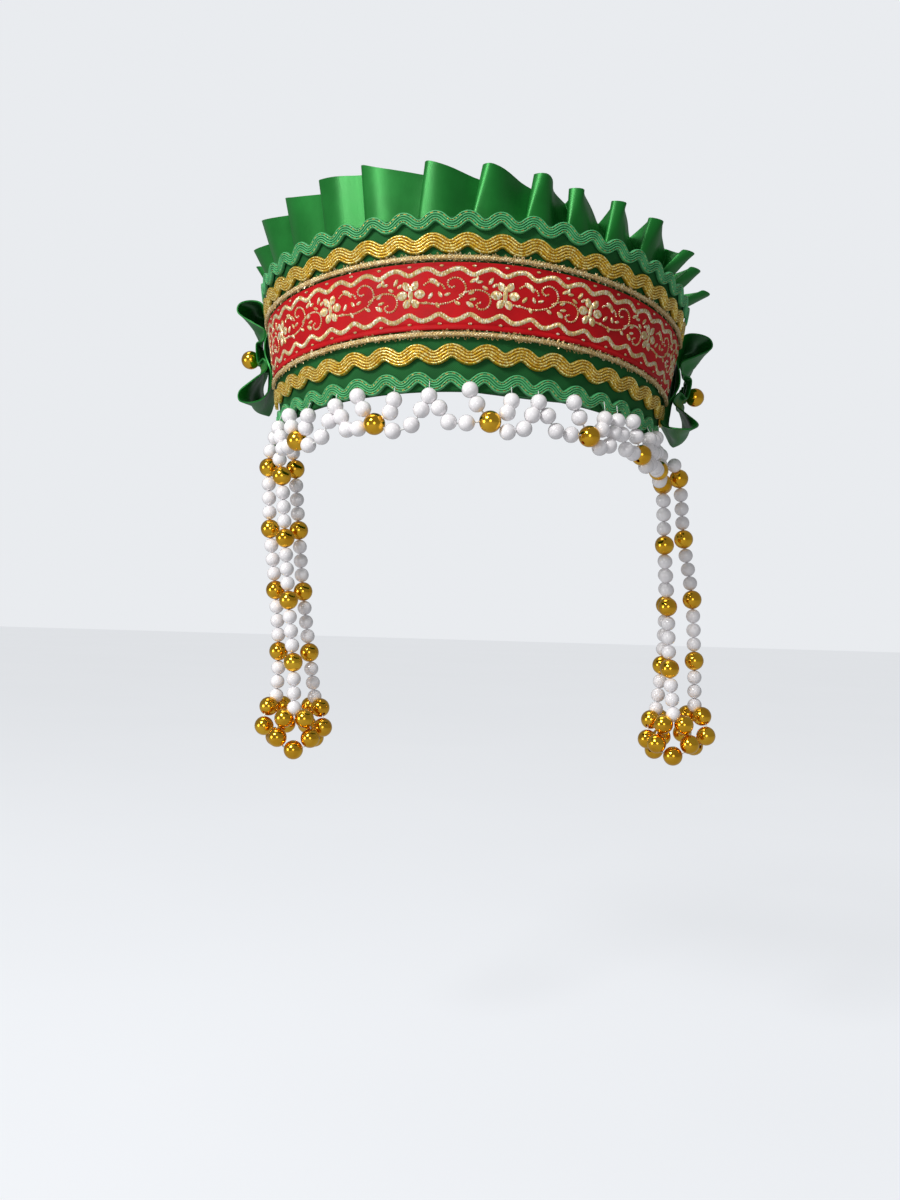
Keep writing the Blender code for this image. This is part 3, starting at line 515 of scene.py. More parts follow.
# The green is lighter on the crests of the yarns and darker in the grooves between them, a painted shade, and
# drifts a little in tone.
green = mix(tree, calc(tree, "MULTIPLY_ADD", yarn, 0.75, calc(tree, "MULTIPLY", tone, 0.25)),
            (0.004, 0.085, 0.022, 1), (0.105, 0.520, 0.190, 1))
off_middle = calc(tree, "ABSOLUTE", calc(tree, "SUBTRACT", parts["Y"], 2.05))
beside_edge = calc(tree, "COMPARE", off_middle, 1.23, 0.16)
dash = calc(tree, "GREATER_THAN", calc(tree, "SINE", calc(tree, "MULTIPLY", parts["X"], 3.6)), 0.15)
gold_dash = calc(tree, "MULTIPLY", beside_edge, dash)
dress(tree, shader, mix(tree, gold_dash, green, (0.80, 0.60, 0.26, 1)),
      scaled(tree, gold_dash, 0.46, 0.30), yarn, 0.6, 0.00015)
tree.links.new(calc(tree, "MULTIPLY", gold_dash, 0.8), shader.inputs["Metallic"])

# %% Pearls, gold beads, thread and elastic
def bead_finish(name, dark, light, patches, roughness, **numbers):
    """A bead's coating, which drifts a little in tone and gloss from bead to bead."""
    made, tree, shader, lay, place = new_finish(name, **numbers)
    tone = use(tree, uneven_tone, {"Place": place, "Patches per metre": patches})["Mask"]
    dress(tree, shader, mix(tree, tone, dark, light), scaled(tree, tone, roughness - 0.04, roughness + 0.05), tone,
          0.05, 0.0001)
    return made


pearl_finish = bead_finish("pearl", (0.80, 0.77, 0.78, 1), (0.93, 0.90, 0.91, 1), 60.0, 0.24,
                           Specular_IOR_Level=0.7, Coat_Weight=0.7, Coat_Roughness=0.06)
gold_bead_finish = bead_finish("gold bead", (0.74, 0.36, 0.020, 1), (0.95, 0.56, 0.045, 1), 150.0, 0.13,
                               Metallic=1.0)
thread_finish, tree, shader, lay, place = new_finish("white thread", Roughness=0.7)
twist = use(tree, thread_lines, {"Lay": lay, "Threads per mm": 3.0, "Slant": 1.0})["Height"]
# The thread is greyer in the grooves of its twist, a painted shade.
dress(tree, shader, mix(tree, twist, (0.55, 0.55, 0.52, 1), (0.88, 0.88, 0.86, 1)), None, twist, 0.4, 0.0001)
elastic_finish, tree, shader, lay, place = new_finish("ribbed elastic", Specular_IOR_Level=0.3)
ribs = use(tree, thread_lines, {"Lay": lay, "Threads per mm": 1.0, "Slant": 0.0})["Height"]
weave = use(tree, plain_weave, {"Lay": lay, "Threads per mm": 2.0})["Height"]
relief = calc(tree, "MULTIPLY_ADD", ribs, 0.7, calc(tree, "MULTIPLY", weave, 0.3))
# The elastic is darker in the grooves between its ribs and in the gaps of the weave, a painted shade.
dress(tree, shader, mix(tree, relief, (0.006, 0.045, 0.014, 1), (0.018, 0.120, 0.036, 1)),
      scaled(tree, relief, 0.9, 0.7), relief, 0.5, 0.0002)
floor_finish, tree, shader, lay, place = new_finish("pale floor", Roughness=0.8, Specular_IOR_Level=0.2)
tone = use(tree, uneven_tone, {"Place": place, "Patches per metre": 3.0})["Mask"]
dress(tree, shader, mix(tree, tone, (0.20, 0.205, 0.215, 1), (0.22, 0.225, 0.235, 1)))
shader.inputs["Emission Color"].default_value = (0.86, 0.88, 0.91, 1)
seen = add(tree, "ShaderNodeLightPath").outputs["Is Camera Ray"]
tree.links.new(calc(tree, "MULTIPLY_ADD", seen, 0.50, 0.28), shader.inputs["Emission Strength"])
floor_mesh.materials.append(floor_finish)
print("materials:", len(bpy.data.materials))

# %% [markdown]
# ## The stiff band
# Card or buckram is covered with green cloth that turns over both edges. It is a wall with rounded
# edges, finely divided so that its outline is smooth.

# %% Band
def half_round(low, high, wall, face, steps=5):
    """Heights and distances out of a wall's section, with round edges at both ends."""
    radius = wall / 2
    section = []
    for k in range(steps + 1):
        angle = math.pi * k / steps
        section.append((high - radius + radius * math.sin(angle), face - radius + radius * math.cos(angle)))
    for k in range(steps + 1):
        angle = math.pi * k / steps
        section.append((low + radius - radius * math.sin(angle), face - radius - radius * math.cos(angle)))
    return section


def strip(name, turns, section, finish):
    """A strip round the crown with one section all along."""
    heights, outs = (np.array(values) for values in zip(*section))
    points = crown_points(np.asarray(turns)[:, None], heights[None, :], outs[None, :])
    along = length_at(turns, BAND_HEIGHT / 2) * 1000
    lay = np.stack(np.broadcast_arrays(along[:, None], heights[None, :] * 1000), axis=-1)
    return skin(name, points, finish, lay)


band_section = half_round(0.0, BAND_HEIGHT, BAND_WALL, 0.0)
face_heights = np.linspace(0.004, 0.060, 15)
band_section = ([(height, 0.0) for height in face_heights] + band_section[:6]
                + [(height, -BAND_WALL) for height in face_heights[::-3]] + band_section[6:])
band_turns = turn_at(np.linspace(-BAND_HALF_LENGTH, BAND_HALF_LENGTH, 261))
band = strip("band_cloth", band_turns, band_section, crown_cloth)
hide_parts("crown_band")
print("band:", len(band.data.polygons), "faces")

# %% [markdown]
# ## Ric-rac
# Ric-rac is a flat braid woven so that it swings from side to side. Its threads run with the wave, so
# the section is five round yarns side by side, carried square to a wavy middle line.

# %% Ric-rac braids
TRIM_HALF_LENGTH = 0.1105
RICRAC_HEIGHT = 0.0074
RICRAC_THICKNESS = 0.0014
RICRAC_YARNS = 5
RICRAC_LAY_WIDTH = 4.1
STATIONS_PER_WAVE = 36


def ricrac(name, node, foot, pitch, phase, strand, swing, finish):
    """One wavy braid along a level line, in the solid's place, with its own strand width and swing."""
    middle = foot + RICRAC_HEIGHT / 2
    left = length_at(turn_at(-TRIM_HALF_LENGTH), middle)
    right = length_at(turn_at(TRIM_HALF_LENGTH), middle)
    arc = np.linspace(left, right, int((right - left) / pitch * STATIONS_PER_WAVE))
    wave = np.sin(math.tau * (arc - phase) / pitch)
    wave = wave * (1.12 - 0.12 * wave ** 2)
    line = np.stack([arc, middle + wave * swing / 2], axis=1)
    way = unit(np.gradient(line, axis=0))
    square = np.stack([-way[:, 1], way[:, 0]], axis=1)
    across = np.linspace(-0.5, 0.5, RICRAC_YARNS * 6 + 1)
    yarns = np.abs(np.sin(math.pi * (across + 0.5) * RICRAC_YARNS)) ** 0.6
    edge = np.sqrt(np.clip(1 - (2 * across) ** 6, 0, 1))
    relief = (0.52 * edge + 0.48 * yarns) * RICRAC_THICKNESS
    relief[0] = relief[-1] = 0.0
    spots = line[:, None, :] + square[:, None, :] * (across * strand)[None, :, None]
    out = np.broadcast_to(SEWN_GAP + 0.0002 + relief, spots.shape[:2])
    flat = np.concatenate([spots, out[..., None]], axis=-1)
    along = np.cumsum(np.linalg.norm(np.diff(line, axis=0, prepend=line[:1]), axis=1)) * 1000
    lay = np.stack(np.broadcast_arrays(along[:, None], (across[None, :] + 0.5) * RICRAC_LAY_WIDTH), axis=-1)
    piece = skin(name, wrap(flat, middle), finish, lay)
    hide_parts(node)
    return piece


GOLD_PITCH = 0.0126
GREEN_PITCH = 0.0119
RICRACS = {
    "ricrac_gold_lower": (0.0097, GOLD_PITCH, -0.0050 - GOLD_PITCH / 4),
    "ricrac_gold_upper": (0.0501, GOLD_PITCH, -0.0004 - GOLD_PITCH / 4),
    "ricrac_green_lower": (-0.0002, GREEN_PITCH, -0.0050 - GREEN_PITCH / 4),
    "ricrac_green_upper": (0.0584, GREEN_PITCH, -0.0004 - GREEN_PITCH / 4),
}
for node, (foot, pitch, phase) in RICRACS.items():
    golden = "gold" in node
    made = ricrac(node.replace("ricrac", "wavy_braid"), node, foot, pitch, phase,
                  0.0053 if golden else 0.0043, 0.0026 if golden else 0.0031,
                  gold_ricrac_finish if golden else green_ricrac_finish)
    print(made.name, len(made.data.polygons), "faces")

# %% [markdown]
# ## Fuzzy lurex braid
# The narrow braid beside each edge of the ribbon is a plait of soft metal yarn with tiny loops that
# stand out on both sides. Three thin tubes plait round the middle line and hundreds of small seeded
# loops of foil thread surround them.

# %% Lurex braid
BRAID_LOOPS = 620
FOIL_RADIUS = 0.00009
draw = random.Random(7)


def lurex_braid(name, node, middle):
    """A plait of three yarns with tiny loops of foil thread along both sides."""
    left = length_at(turn_at(-TRIM_HALF_LENGTH), middle)
    right = length_at(turn_at(TRIM_HALF_LENGTH), middle)
    arc = np.linspace(left, right, 900)
    shapes = []
    for yarn in range(3):
        angle = math.tau * (arc / 0.0034 + yarn / 3)
        line = np.stack([arc, middle + 0.00040 * np.sin(angle), SEWN_GAP + 0.0011 + 0.0003 * np.sin(2 * angle)],
                        axis=1)
        rings = tube(line, 0.00052, 7)
        lay = np.stack(np.broadcast_arrays(arc[:, None] * 1000, np.arange(7) * 0.55), axis=-1)
        shapes.append((wrap(rings, middle), grid_faces(len(rings), 7, True, True), lay))
    bend = np.linspace(0.0, math.pi, 6)
    for k in range(BRAID_LOOPS):
        place = left + (right - left) * (k + draw.random()) / BRAID_LOOPS
        side = 1 if draw.random() < 0.5 else -1
        reach = 0.0003 + 0.0011 * draw.random() ** 2
        wide = 0.00018 + 0.00025 * draw.random()
        rise = 0.0003 + 0.0011 * draw.random()
        lean = 0.0006 * (draw.random() - 0.5)
        line = np.stack([place - wide * np.cos(bend) + lean * np.sin(bend),
                         middle + side * (0.0006 + reach * np.sin(bend)),
                         SEWN_GAP + rise + 0.0003 * np.sin(bend)], axis=1)
        rings = tube(line, FOIL_RADIUS, 4)
        lay = np.full((*rings.shape[:2], 2), (place * 1000 * 7, k * 1.7))
        shapes.append((wrap(rings, middle), grid_faces(len(rings), 4, True, True), lay))
    piece = several(name, shapes, cord_gold)
    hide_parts(node)
    return piece


BRAID_LEVELS = {"lower": 0.0205, "upper": 0.0484}
for edge, level in BRAID_LEVELS.items():
    made = lurex_braid(f"lurex_braid_{edge}", f"braid_{edge}", level)
    print(made.name, len(made.data.polygons), "faces")

# %% [markdown]
# ## Jacquard ribbon
# The ribbon is woven red with its pattern in gold thread: two wavy lines with dots, and between them
# flowers, spirals and leaves on a vine, a common folk border. The pattern threads float on top of the
# ground, so every stroke is a low rounded strip drawn flat and bent round the crown with the ribbon.

# %% Ribbon ground
RIBBON_WIDTH = 0.0245
RIBBON_FOOT = 0.0222
RIBBON_FACE = SEWN_GAP + 0.0008
ribbon_middle = RIBBON_FOOT + RIBBON_WIDTH / 2
heights = np.linspace(0.0, RIBBON_WIDTH, 50)
lip = 0.00045 * np.exp(-((heights - 0.0006) / 0.0006) ** 2) - 0.00035 * np.exp(-((heights - 0.0021) / 0.0003) ** 2)
seam = -0.00030 * np.exp(-((heights - RIBBON_WIDTH + 0.0013) / 0.0003) ** 2)
faces_out = [(RIBBON_FOOT + height, RIBBON_FACE + rise) for height, rise in zip(heights, lip + seam)]
section = faces_out + [(RIBBON_FOOT + RIBBON_WIDTH, SEWN_GAP), (RIBBON_FOOT, SEWN_GAP)]
ribbon_turns = turn_at(np.linspace(-TRIM_HALF_LENGTH, TRIM_HALF_LENGTH, 241))
ribbon = strip("ribbon_ground", ribbon_turns, section, red_ground)
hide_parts("jacquard_ribbon")
ribbon_length = float(length_at(ribbon_turns[-1], ribbon_middle) - length_at(ribbon_turns[0], ribbon_middle))
print("ribbon length:", round(ribbon_length * 1000), "mm")

# %% Strokes of gold thread
REPEAT = 0.0339
RELIEF = 0.00032


def stroke(line, width):
    """A low rounded strip along flat points, in metres from the flower's middle."""
    line = np.asarray(line, float)
    way = unit(np.gradient(line, axis=0))
    square = np.stack([-way[:, 1], way[:, 0]], axis=1)
    across = np.array([-1.0, -0.75, -0.3, 0.3, 0.75, 1.0])
    rise = np.array([0.0, 0.7, 1.0, 1.0, 0.7, 0.0]) * RELIEF
    width = np.broadcast_to(width, len(line))
    spots = line[:, None, :] + square[:, None, :] * (width[:, None] / 2 * across)[..., None]
    tall = np.minimum(1.0, width / 0.0005)[:, None] * rise
    return np.concatenate([spots, (RIBBON_FACE - 0.00005 + tall)[..., None]], axis=-1)


def leaf(x, y, length, width, degrees):
    """A pointed oval stroke round a place, in millimetres."""
    share = np.linspace(0.0, 1.0, 9)
    angle = math.radians(degrees)
    reach = (share - 0.5) * length
    line = np.stack([x + reach * math.cos(angle), y + reach * math.sin(angle)], axis=1) / 1000
    return stroke(line, width / 1000 * np.maximum(0.12, np.sin(math.pi * share) ** 0.5))


def dotted(points, gap=0.85, size=0.85):
    """Short dashes along a smooth line through points in millimetres."""
    line = smooth_line(points, 12)
    lengths = np.concatenate(([0.0], np.cumsum(np.linalg.norm(np.diff(line, axis=0), axis=1))))
    dashes = []
    for start in np.arange(0.0, lengths[-1] - gap * 0.6, gap):
        ends = np.linspace(start, start + gap * 0.68, 4)
        dash = np.stack([np.interp(ends, lengths, line[:, axis]) for axis in (0, 1)], axis=1) / 1000
        dashes.append(stroke(dash, size / 1000 * np.array([0.6, 1.0, 1.0, 0.6])))
    return dashes


# Each row of leaves: place across and up from the flower's middle, length, width and turn in degrees
LEAF_COLUMNS = ("x", "y", "length", "width", "degrees")
LEAVES = (
    (-3.2, -0.1, 4.2, 3.6, 4), (3.3, 0.1, 4.0, 3.5, -3), (-1.5, 3.1, 3.8, 2.8, 118), (1.6, 3.2, 3.8, 2.8, 62),
    (-1.6, -3.2, 3.6, 2.9, -118), (1.5, -3.3, 3.6, 2.9, -64), (0.0, 0.2, 6.4, 1.8, 90),
    (8.4, 4.6, 3.8, 2.0, -28), (9.6, 3.6, 2.8, 1.4, -60), (7.2, -0.7, 2.8, 1.4, 55), (10.7, -0.3, 2.4, 1.4, -60),
    (13.3, -0.3, 2.4, 1.2, 20), (9.7, -4.2, 2.4, 1.4, -60), (16.9, -3.5, 2.4, 1.4, -30),
    (22.3, 4.8, 2.8, 1.4, 35), (23.6, 5.4, 2.4, 1.3, 75), (24.6, 4.4, 2.4, 1.2, 10), (28.6, 4.9, 3.0, 1.5, 60),
    (26.6, 2.3, 2.4, 1.3, -30), (21.8, 0.3, 2.4, 1.2, 25), (22.4, -2.0, 2.6, 1.2, 12), (21.4, -3.9, 3.2, 1.8, -35),
    (30.0, 3.4, 2.2, 1.3, 40), (5.2, -3.2, 1.8, 1.1, 20),
)
SPIRAL_UP = ((16.8, -2.2), (18.8, -0.6), (19.8, 1.9), (18.6, 4.7), (16.0, 5.8), (13.7, 4.7), (13.6, 2.9),
             (15.2, 2.2), (16.3, 3.3))
SPIRAL_DOWN = ((17.4, -0.8), (20.6, 0.8), (24.6, 1.4), (27.9, 0.1), (28.7, -2.7), (27.3, -5.1), (24.8, -5.5),
               (23.7, -3.9), (25.3, -3.0))
VINE = ((3.0, -3.1), (6.4, -3.4), (9.8, -3.9), (13.4, -3.4), (16.8, -2.2))
CURL = ((4.8, 3.2), (6.8, 4.4), (9.4, 4.0), (11.6, 3.0), (12.5, 0.9))
FLOWER_LEVEL = ribbon_middle + 0.0008

motif = [leaf(*row) for row in LEAVES]
for points in (SPIRAL_UP, SPIRAL_DOWN, VINE, CURL):
    motif.extend(dotted(points))
for row in range(3):
    centre = row * REPEAT * 1000 / 3
    motif.append(leaf(centre, 10.2, 1.5, 0.9, 0))
    motif.append(leaf(centre - 0.9, -10.9, 1.5, 0.9, 0))

# %% [markdown]
# The first flower stands 13.4 mm to the right of the front, as measured, and the others follow at one
# repeat. Strokes that would pass the ribbon's ends are left off.

# %% Pattern round the ribbon
def wave_line(level, swing, phase):
    """A wavy gold line along the whole ribbon with three waves a repeat, thick and thin in turn."""
    half = ribbon_length / 2 - 0.0008
    arc = np.linspace(-half, half, 900)
    wave = np.cos(math.tau * 3 * (arc - phase) / REPEAT)
    line = np.stack([arc, level + swing * (wave + 0.12 * np.sin(2 * math.tau * 3 * arc / REPEAT))], axis=1)
    steps = 0.00016 * np.sin(math.tau * arc / 0.0009)
    return stroke(line, 0.00180 + steps)


def as_shapes(strokes, level):
    """Flat strokes bent round the crown, with their flat places as their lay."""
    shapes = []
    for flat in strokes:
        faces = grid_faces(*flat.shape[:2], True, True)
        shapes.append((wrap(flat, level), outward(faces, flat), flat[..., :2] * 1000))
    return shapes


FIRST_FLOWER = 0.0134
strokes = [wave_line(FLOWER_LEVEL + 0.0082, -0.00105, FIRST_FLOWER),
           wave_line(FLOWER_LEVEL - 0.0087, 0.00110, FIRST_FLOWER - 0.0012)]
limit = ribbon_length / 2 - 0.0006
for k in range(-5, 5):
    for flat in motif:
        placed = flat + np.array([FIRST_FLOWER + k * REPEAT, FLOWER_LEVEL, 0.0])
        if np.abs(placed[..., 0]).max() < limit:
            strokes.append(placed)
pattern = several("ribbon_pattern", as_shapes(strokes, ribbon_middle), pattern_gold)
print("pattern:", len(strokes), "strokes,", len(pattern.data.polygons), "faces")

# %% [markdown]
# ## Satin ruffle
# A satin ribbon is knife pleated and sewn behind the band's top edge. On the left the pleats lie pressed
# and flat, and to the right they spring open into rolled folds. A table holds one row a pleat, as in the
# solid, and a fine smooth path through its fold points gives the cloth its round noses.

# %% Ruffle path
PLEAT_LAYER = 0.0015
PLEAT_OVERLAP = 0.0055
RUFFLE_TUCK = 0.0060
RUFFLE_RISE = 0.0205
RUFFLE_SINK = 0.0062
RUFFLE_NOSE = 0.0024
SPLAY_START = 0.10
OPEN_OVERLAP = 0.0010
PLEAT_LEAD = 0.0075
PLEAT_TRAIL = 0.0024
PLEAT_TURN = math.radians(70)
PANEL_BEND = 0.30
RUFFLE_DIP = 0.0050
RUFFLE_GAP = 0.0006
RIBBON_CLOTH = 0.0006
SOLID_CLOTH = 0.0010
PLEAT_PITCH_SHARE = 0.105
PLEAT_COLUMNS = ("foot", "lean", "rise", "slope", "splay", "open")
PLEATS = (
    (-0.880, -0.05, 0.86, 0.20, 0.30, 0.10),
    (-0.788, -0.12, 1.00, 0.24, 0.26, 0.05),
    (-0.650, -0.08, 1.22, 0.32, 0.14, 0.00),
    (-0.511, -0.06, 1.24, 0.32, 0.00, 0.00),
    (-0.379, 0.00, 1.18, 0.14, 0.00, 0.00),
    (-0.256, 0.02, 1.17, 0.32, 0.00, 0.06),
    (-0.120, 0.16, 1.06, 0.22, 0.00, 0.25),
    (0.008, 0.20, 1.02, 0.10, 0.00, 0.55),
    (0.137, 0.15, 0.96, 0.00, 0.02, 0.85),
    (0.246, 0.02, 0.84, 0.00, 0.04, 1.00),
    (0.361, 0.08, 0.88, 0.00, 0.06, 1.00),
    (0.484, 0.14, 0.92, 0.00, 0.12, 1.00),
    (0.592, 0.10, 0.56, 0.00, 0.50, 0.90),
    (0.682, 0.04, 0.50, 0.00, 0.45, 0.80),
    (0.790, 0.00, 0.38, 0.00, 0.58, 0.70),
)
ruffle_half = float(length_at(turn_at(BAND_HALF_LENGTH), BAND_HEIGHT, -BAND_WALL))


def splayed(row, level):
    """How far out a pleat's front stands at a level."""
    return row["splay"] * RUFFLE_RISE * max(0.0, level - SPLAY_START) / (1 - SPLAY_START)


def nose_at(row, level):
    """Half the depth of a pleat's front fold, which grows as the pleat springs open."""
    return PLEAT_LAYER / 2 + RUFFLE_NOSE * row["open"] * level


def pleat_path(row, following, level):
    """Eight points of one pleat at a level from 0 at the band to 1 at the tip.

    The rear fold lies behind the next pleat's front fold as it stands at that height.
    """
    opened = row["open"] * level
    tip = RUFFLE_RISE * level
    crest = BAND_HEIGHT + row["rise"] * tip
    fall = row["slope"] * tip
    dip = RUFFLE_DIP * opened
    hollow = crest - fall - dip
    beside = min(1.0, (hollow - BAND_HEIGHT) / (following["rise"] * RUFFLE_RISE))
    start = row["foot"] * ruffle_half + row["lean"] * tip
    end = following["foot"] * ruffle_half + following["lean"] * RUFFLE_RISE * beside
    nose = nose_at(row, level)
    front = splayed(row, level)
    back = splayed(following, beside) - 2 * nose_at(following, beside) - PLEAT_LAYER - RUFFLE_SINK * opened
    bend = PANEL_BEND * (front - back) * opened
    round_fold = PLEAT_LAYER / 2
    fold = (end + PLEAT_OVERLAP + (OPEN_OVERLAP - PLEAT_OVERLAP) * opened, back + round_fold)
    ahead = (round_fold * math.cos(opened * PLEAT_TURN), -round_fold * math.sin(opened * PLEAT_TURN))
    return (
        (start + 0.5 * nose, front - 2 * nose, crest),
        (start - 0.5 * nose, front - nose, crest),
        (start + 0.7 * nose, front, crest),
        (start + PLEAT_LEAD - RUFFLE_NOSE * opened, front - bend, crest - 0.4 * fall - 0.1 * dip),
        (end - PLEAT_TRAIL - 1.5 * RUFFLE_NOSE * opened, back + bend, crest - 0.8 * fall - 0.5 * dip),
        (fold[0] + ahead[1], fold[1] - ahead[0], hollow),
        (fold[0] + ahead[0], fold[1] + ahead[1], hollow),
        (fold[0] - ahead[1], fold[1] + ahead[0], hollow),
    )


# %% Ruffle cloth
RUFFLE_LEVELS = 15
PATH_STEPS = 4
rows = [dict(zip(PLEAT_COLUMNS, row)) for row in PLEATS]
rows.append({**rows[-1], "foot": rows[-1]["foot"] + PLEAT_PITCH_SHARE})
front_of_ruffle = -BAND_WALL - RUFFLE_GAP - SOLID_CLOTH / 2
sheets = []
for level in np.linspace(0.0, 1.0, RUFFLE_LEVELS):
    path = [point for row, following in zip(rows, rows[1:]) for point in pleat_path(row, following, level)]
    sheets.append(smooth_line(path[:-2], PATH_STEPS))
sheets = np.array(sheets)
foot = sheets[:1].copy()
foot[..., 2] = BAND_HEIGHT - RUFFLE_TUCK
sheets = np.concatenate([foot, sheets])
way = unit(np.gradient(sheets[..., :2], axis=1))
walls = []
for side in (1, -1):
    arc = sheets[..., 0] - side * RIBBON_CLOTH / 2 * way[..., 1]
    out = front_of_ruffle + sheets[..., 1] + side * RIBBON_CLOTH / 2 * way[..., 0]
    turn = turn_at(arc, BAND_HEIGHT, -BAND_WALL)
    walls.append(crown_points(turn, sheets[..., 2], out))
grid = np.concatenate([walls[0], walls[1][::-1]]).transpose(1, 0, 2)
run = np.cumsum(np.linalg.norm(np.diff(walls[0][8], axis=0, prepend=walls[0][8][:1]), axis=1)) * 1000
rise = np.linspace(0.0, 27.0, len(sheets))
lay = np.stack(np.broadcast_arrays(run[:, None], np.concatenate([rise, rise[::-1]])[None, :]), axis=-1)
ruffle = skin("ruffle_ribbon", grid, satin, lay)
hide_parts("satin_ruffle")
print("ruffle:", len(ruffle.data.polygons), "faces, ribbon", round(float(run[-1])), "mm long")

# %% [markdown]
# ## Bows
# Each temple has a bow of the same satin: one band of ribbon with two loops, pinched by a knot. Each
# loop opens to the front in a round hollow far out. Nearer the knot its outer side leans over, so the
# ribbon's face shows, and small creases run out from the pinch.

# %% Bow shapes
BOW_WIDTH = 0.025
BOW_PINCH = 0.60
KNOT_THICKNESS = 0.0026
KNOT_LENGTH = 0.009
BOW_COLUMNS = ("along", "front", "rear", "width")
BOW_LOOP = (
    (0.10, 0.22, 0.06, 1.00),
    (0.34, 0.13, 0.02, 1.00),
    (0.56, 0.05, 0.20, 1.00),
    (0.76, 0.00, 0.38, 1.00),
    (0.95, 0.12, 0.44, 1.00),
    (1.00, 0.50, 0.50, 1.00),
    (0.94, 0.86, 0.56, 1.00),
    (0.76, 0.98, 0.62, 1.00),
    (0.56, 0.62, 0.88, 1.00),
    (0.38, 0.23, 0.96, 1.00),
    (0.18, 0.30, 0.84, 1.00),
)
BOWS = {
    "left": {"arc": -0.1265, "height": 0.0405, "stand_off": 0.0030, "knot_lift": 0.0012, "sunk": 0.0014,
             "loops": ((0.0245, 0.0115, 0.0015, 0.0), (0.0250, 0.0120, 0.0045, 0.0))},
    "right": {"arc": 0.1252, "height": 0.0330, "stand_off": 0.0018, "knot_lift": 0.0028, "sunk": 0.0006,
              "loops": ((0.0245, 0.0128, 0.0005, 0.0), (0.0265, 0.0145, 0.0010, 0.0140))},
}


def bow_points(side, offset, along, out):
    """Points of a bow for arrays: so far round the rim behind its middle, above its knot and out."""
    bow = BOWS[side]
    arc = math.copysign(1.0, bow["arc"]) * (abs(bow["arc"]) + np.asarray(offset))
    return crown_points(turn_at(arc), bow["height"] + np.asarray(along), np.asarray(out))


def bow_loops(side):
    """Both loops and the knot of a bow as one closed band of ribbon with creases at the pinch."""
    bow = BOWS[side]
    inner = bow["stand_off"] - bow["sunk"]
    knot = bow["stand_off"] + SOLID_CLOTH + SEWN_GAP + KNOT_THICKNESS + bow["knot_lift"]
    path = []
    for direction, shape, passes in zip((1, -1), bow["loops"], (BOW_LOOP, BOW_LOOP[::-1])):
        length, depth, swing, forward = shape
        for along, front, rear, width in passes:
            level = inner + along ** 2 * swing
            reach = depth - SOLID_CLOTH
            path.append((direction * along * length, level + front * reach, level + rear * reach,
                         width * BOW_WIDTH, along, along ** 3 * forward))
        if direction > 0:
            for end in (1, -1):
                path.append((end * KNOT_LENGTH / 2, knot, knot, BOW_PINCH * BOW_WIDTH, 0.0, 0.0))
    line = smooth_line(path, 7, closed=True)
    across = np.linspace(-0.5, 0.5, 17)
    along, front, rear, width, open_share, forward = (line[:, k][:, None] for k in range(6))
    share = across + 0.5
    out = front + (rear - front) * share
    loop_middle = bow["stand_off"] + 0.5 * np.mean([shape[1] for shape in bow["loops"]])
    away = np.clip((front - loop_middle) / 0.006, -1, 1) * np.clip(open_share / 0.4, 0, 1)
    out = out + away * (0.0011 * np.exp(-share / 0.10) - 0.0004 * np.exp(-((share - 0.3) / 0.15) ** 2))
    crease = np.clip(1 - open_share, 0, 1) ** 1.5
    out = out + 0.0007 * crease * np.sin(across * 21 + 0.8 * (1 if side == "left" else -1))
    out = out + 0.0006 * open_share * np.sin(across * 9 + along * 260)
    middle = bow_points(side, across * width - forward, along + 0 * across, out)
    ways = unit(np.roll(middle, -1, axis=0) - np.roll(middle, 1, axis=0))
    cross = unit(np.gradient(middle, axis=1))
    normal = unit(np.cross(ways, cross))
    thick = RIBBON_CLOTH / 2
    rings = np.concatenate([middle + normal * thick, (middle - normal * thick)[:, ::-1]], axis=1)
    rings = np.concatenate([rings, rings[:1]])
    run = np.cumsum(np.linalg.norm(np.diff(middle[:, 8], axis=0, prepend=middle[-1:, 8]), axis=1)) * 1000
    run = np.concatenate([run, [run[-1] + 1.0]])
    columns = np.concatenate([across, across[::-1]]) * BOW_WIDTH * 1000
    lay = np.stack(np.broadcast_arrays(run[:, None], columns[None, :]), axis=-1)
    return rings[:-1], lay[:-1], float(run[-2]) / 1000


def closed_loop(name, rings, finish, lay):
    """A skin whose last ring joins its first."""
    rows, columns = rings.shape[:2]
    faces = []
    for i in range(rows):
        for j in range(columns):
            below = (i + 1) % rows
            beside = (j + 1) % columns
            faces.append((i * columns + j, i * columns + beside, below * columns + beside, below * columns + j))
    return make_piece(name, rings, outward(faces, rings), finish, lay)


for side in BOWS:
    rings, lay, length = bow_loops(side)
    bow = closed_loop(f"bow_ribbon_{side}", rings, satin, lay)
    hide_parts(f"bow_{side}")
    print("bow", side, "ribbon", round(length * 1000), "mm")

# %% Free end of the left bow's ribbon
TAIL_WIDTH = 0.012
TAIL_LENGTH = 0.046
TAIL_FLARE = 0.008
TAIL_SETBACK = 0.0075
TAIL_FREE_SHARE = 0.6
share = np.linspace(0.02, 1.0, 25)[:, None]
across = np.linspace(-0.5, 0.5, 9)[None, :]
swing = np.clip((share - TAIL_FREE_SHARE) / (1 - TAIL_FREE_SHARE), 0, None) ** 2
width = TAIL_WIDTH * (0.5 + 0.5 * share)
sides = []
for face in (1, -1):
    out = SEWN_GAP + SOLID_CLOTH / 2 + TAIL_FLARE * swing + 0.0006 * share * np.cos(across * 6.0) + face * RIBBON_CLOTH / 2
    sides.append(bow_points("left", share * TAIL_SETBACK + across * width, -share * TAIL_LENGTH + 0 * across, out))
rings = np.concatenate([sides[0], sides[1][:, ::-1]], axis=1)
lay = np.stack(np.broadcast_arrays(share * TAIL_LENGTH * 1000,
                                   np.concatenate([across, across[:, ::-1]], axis=1) * 12.0), axis=-1)
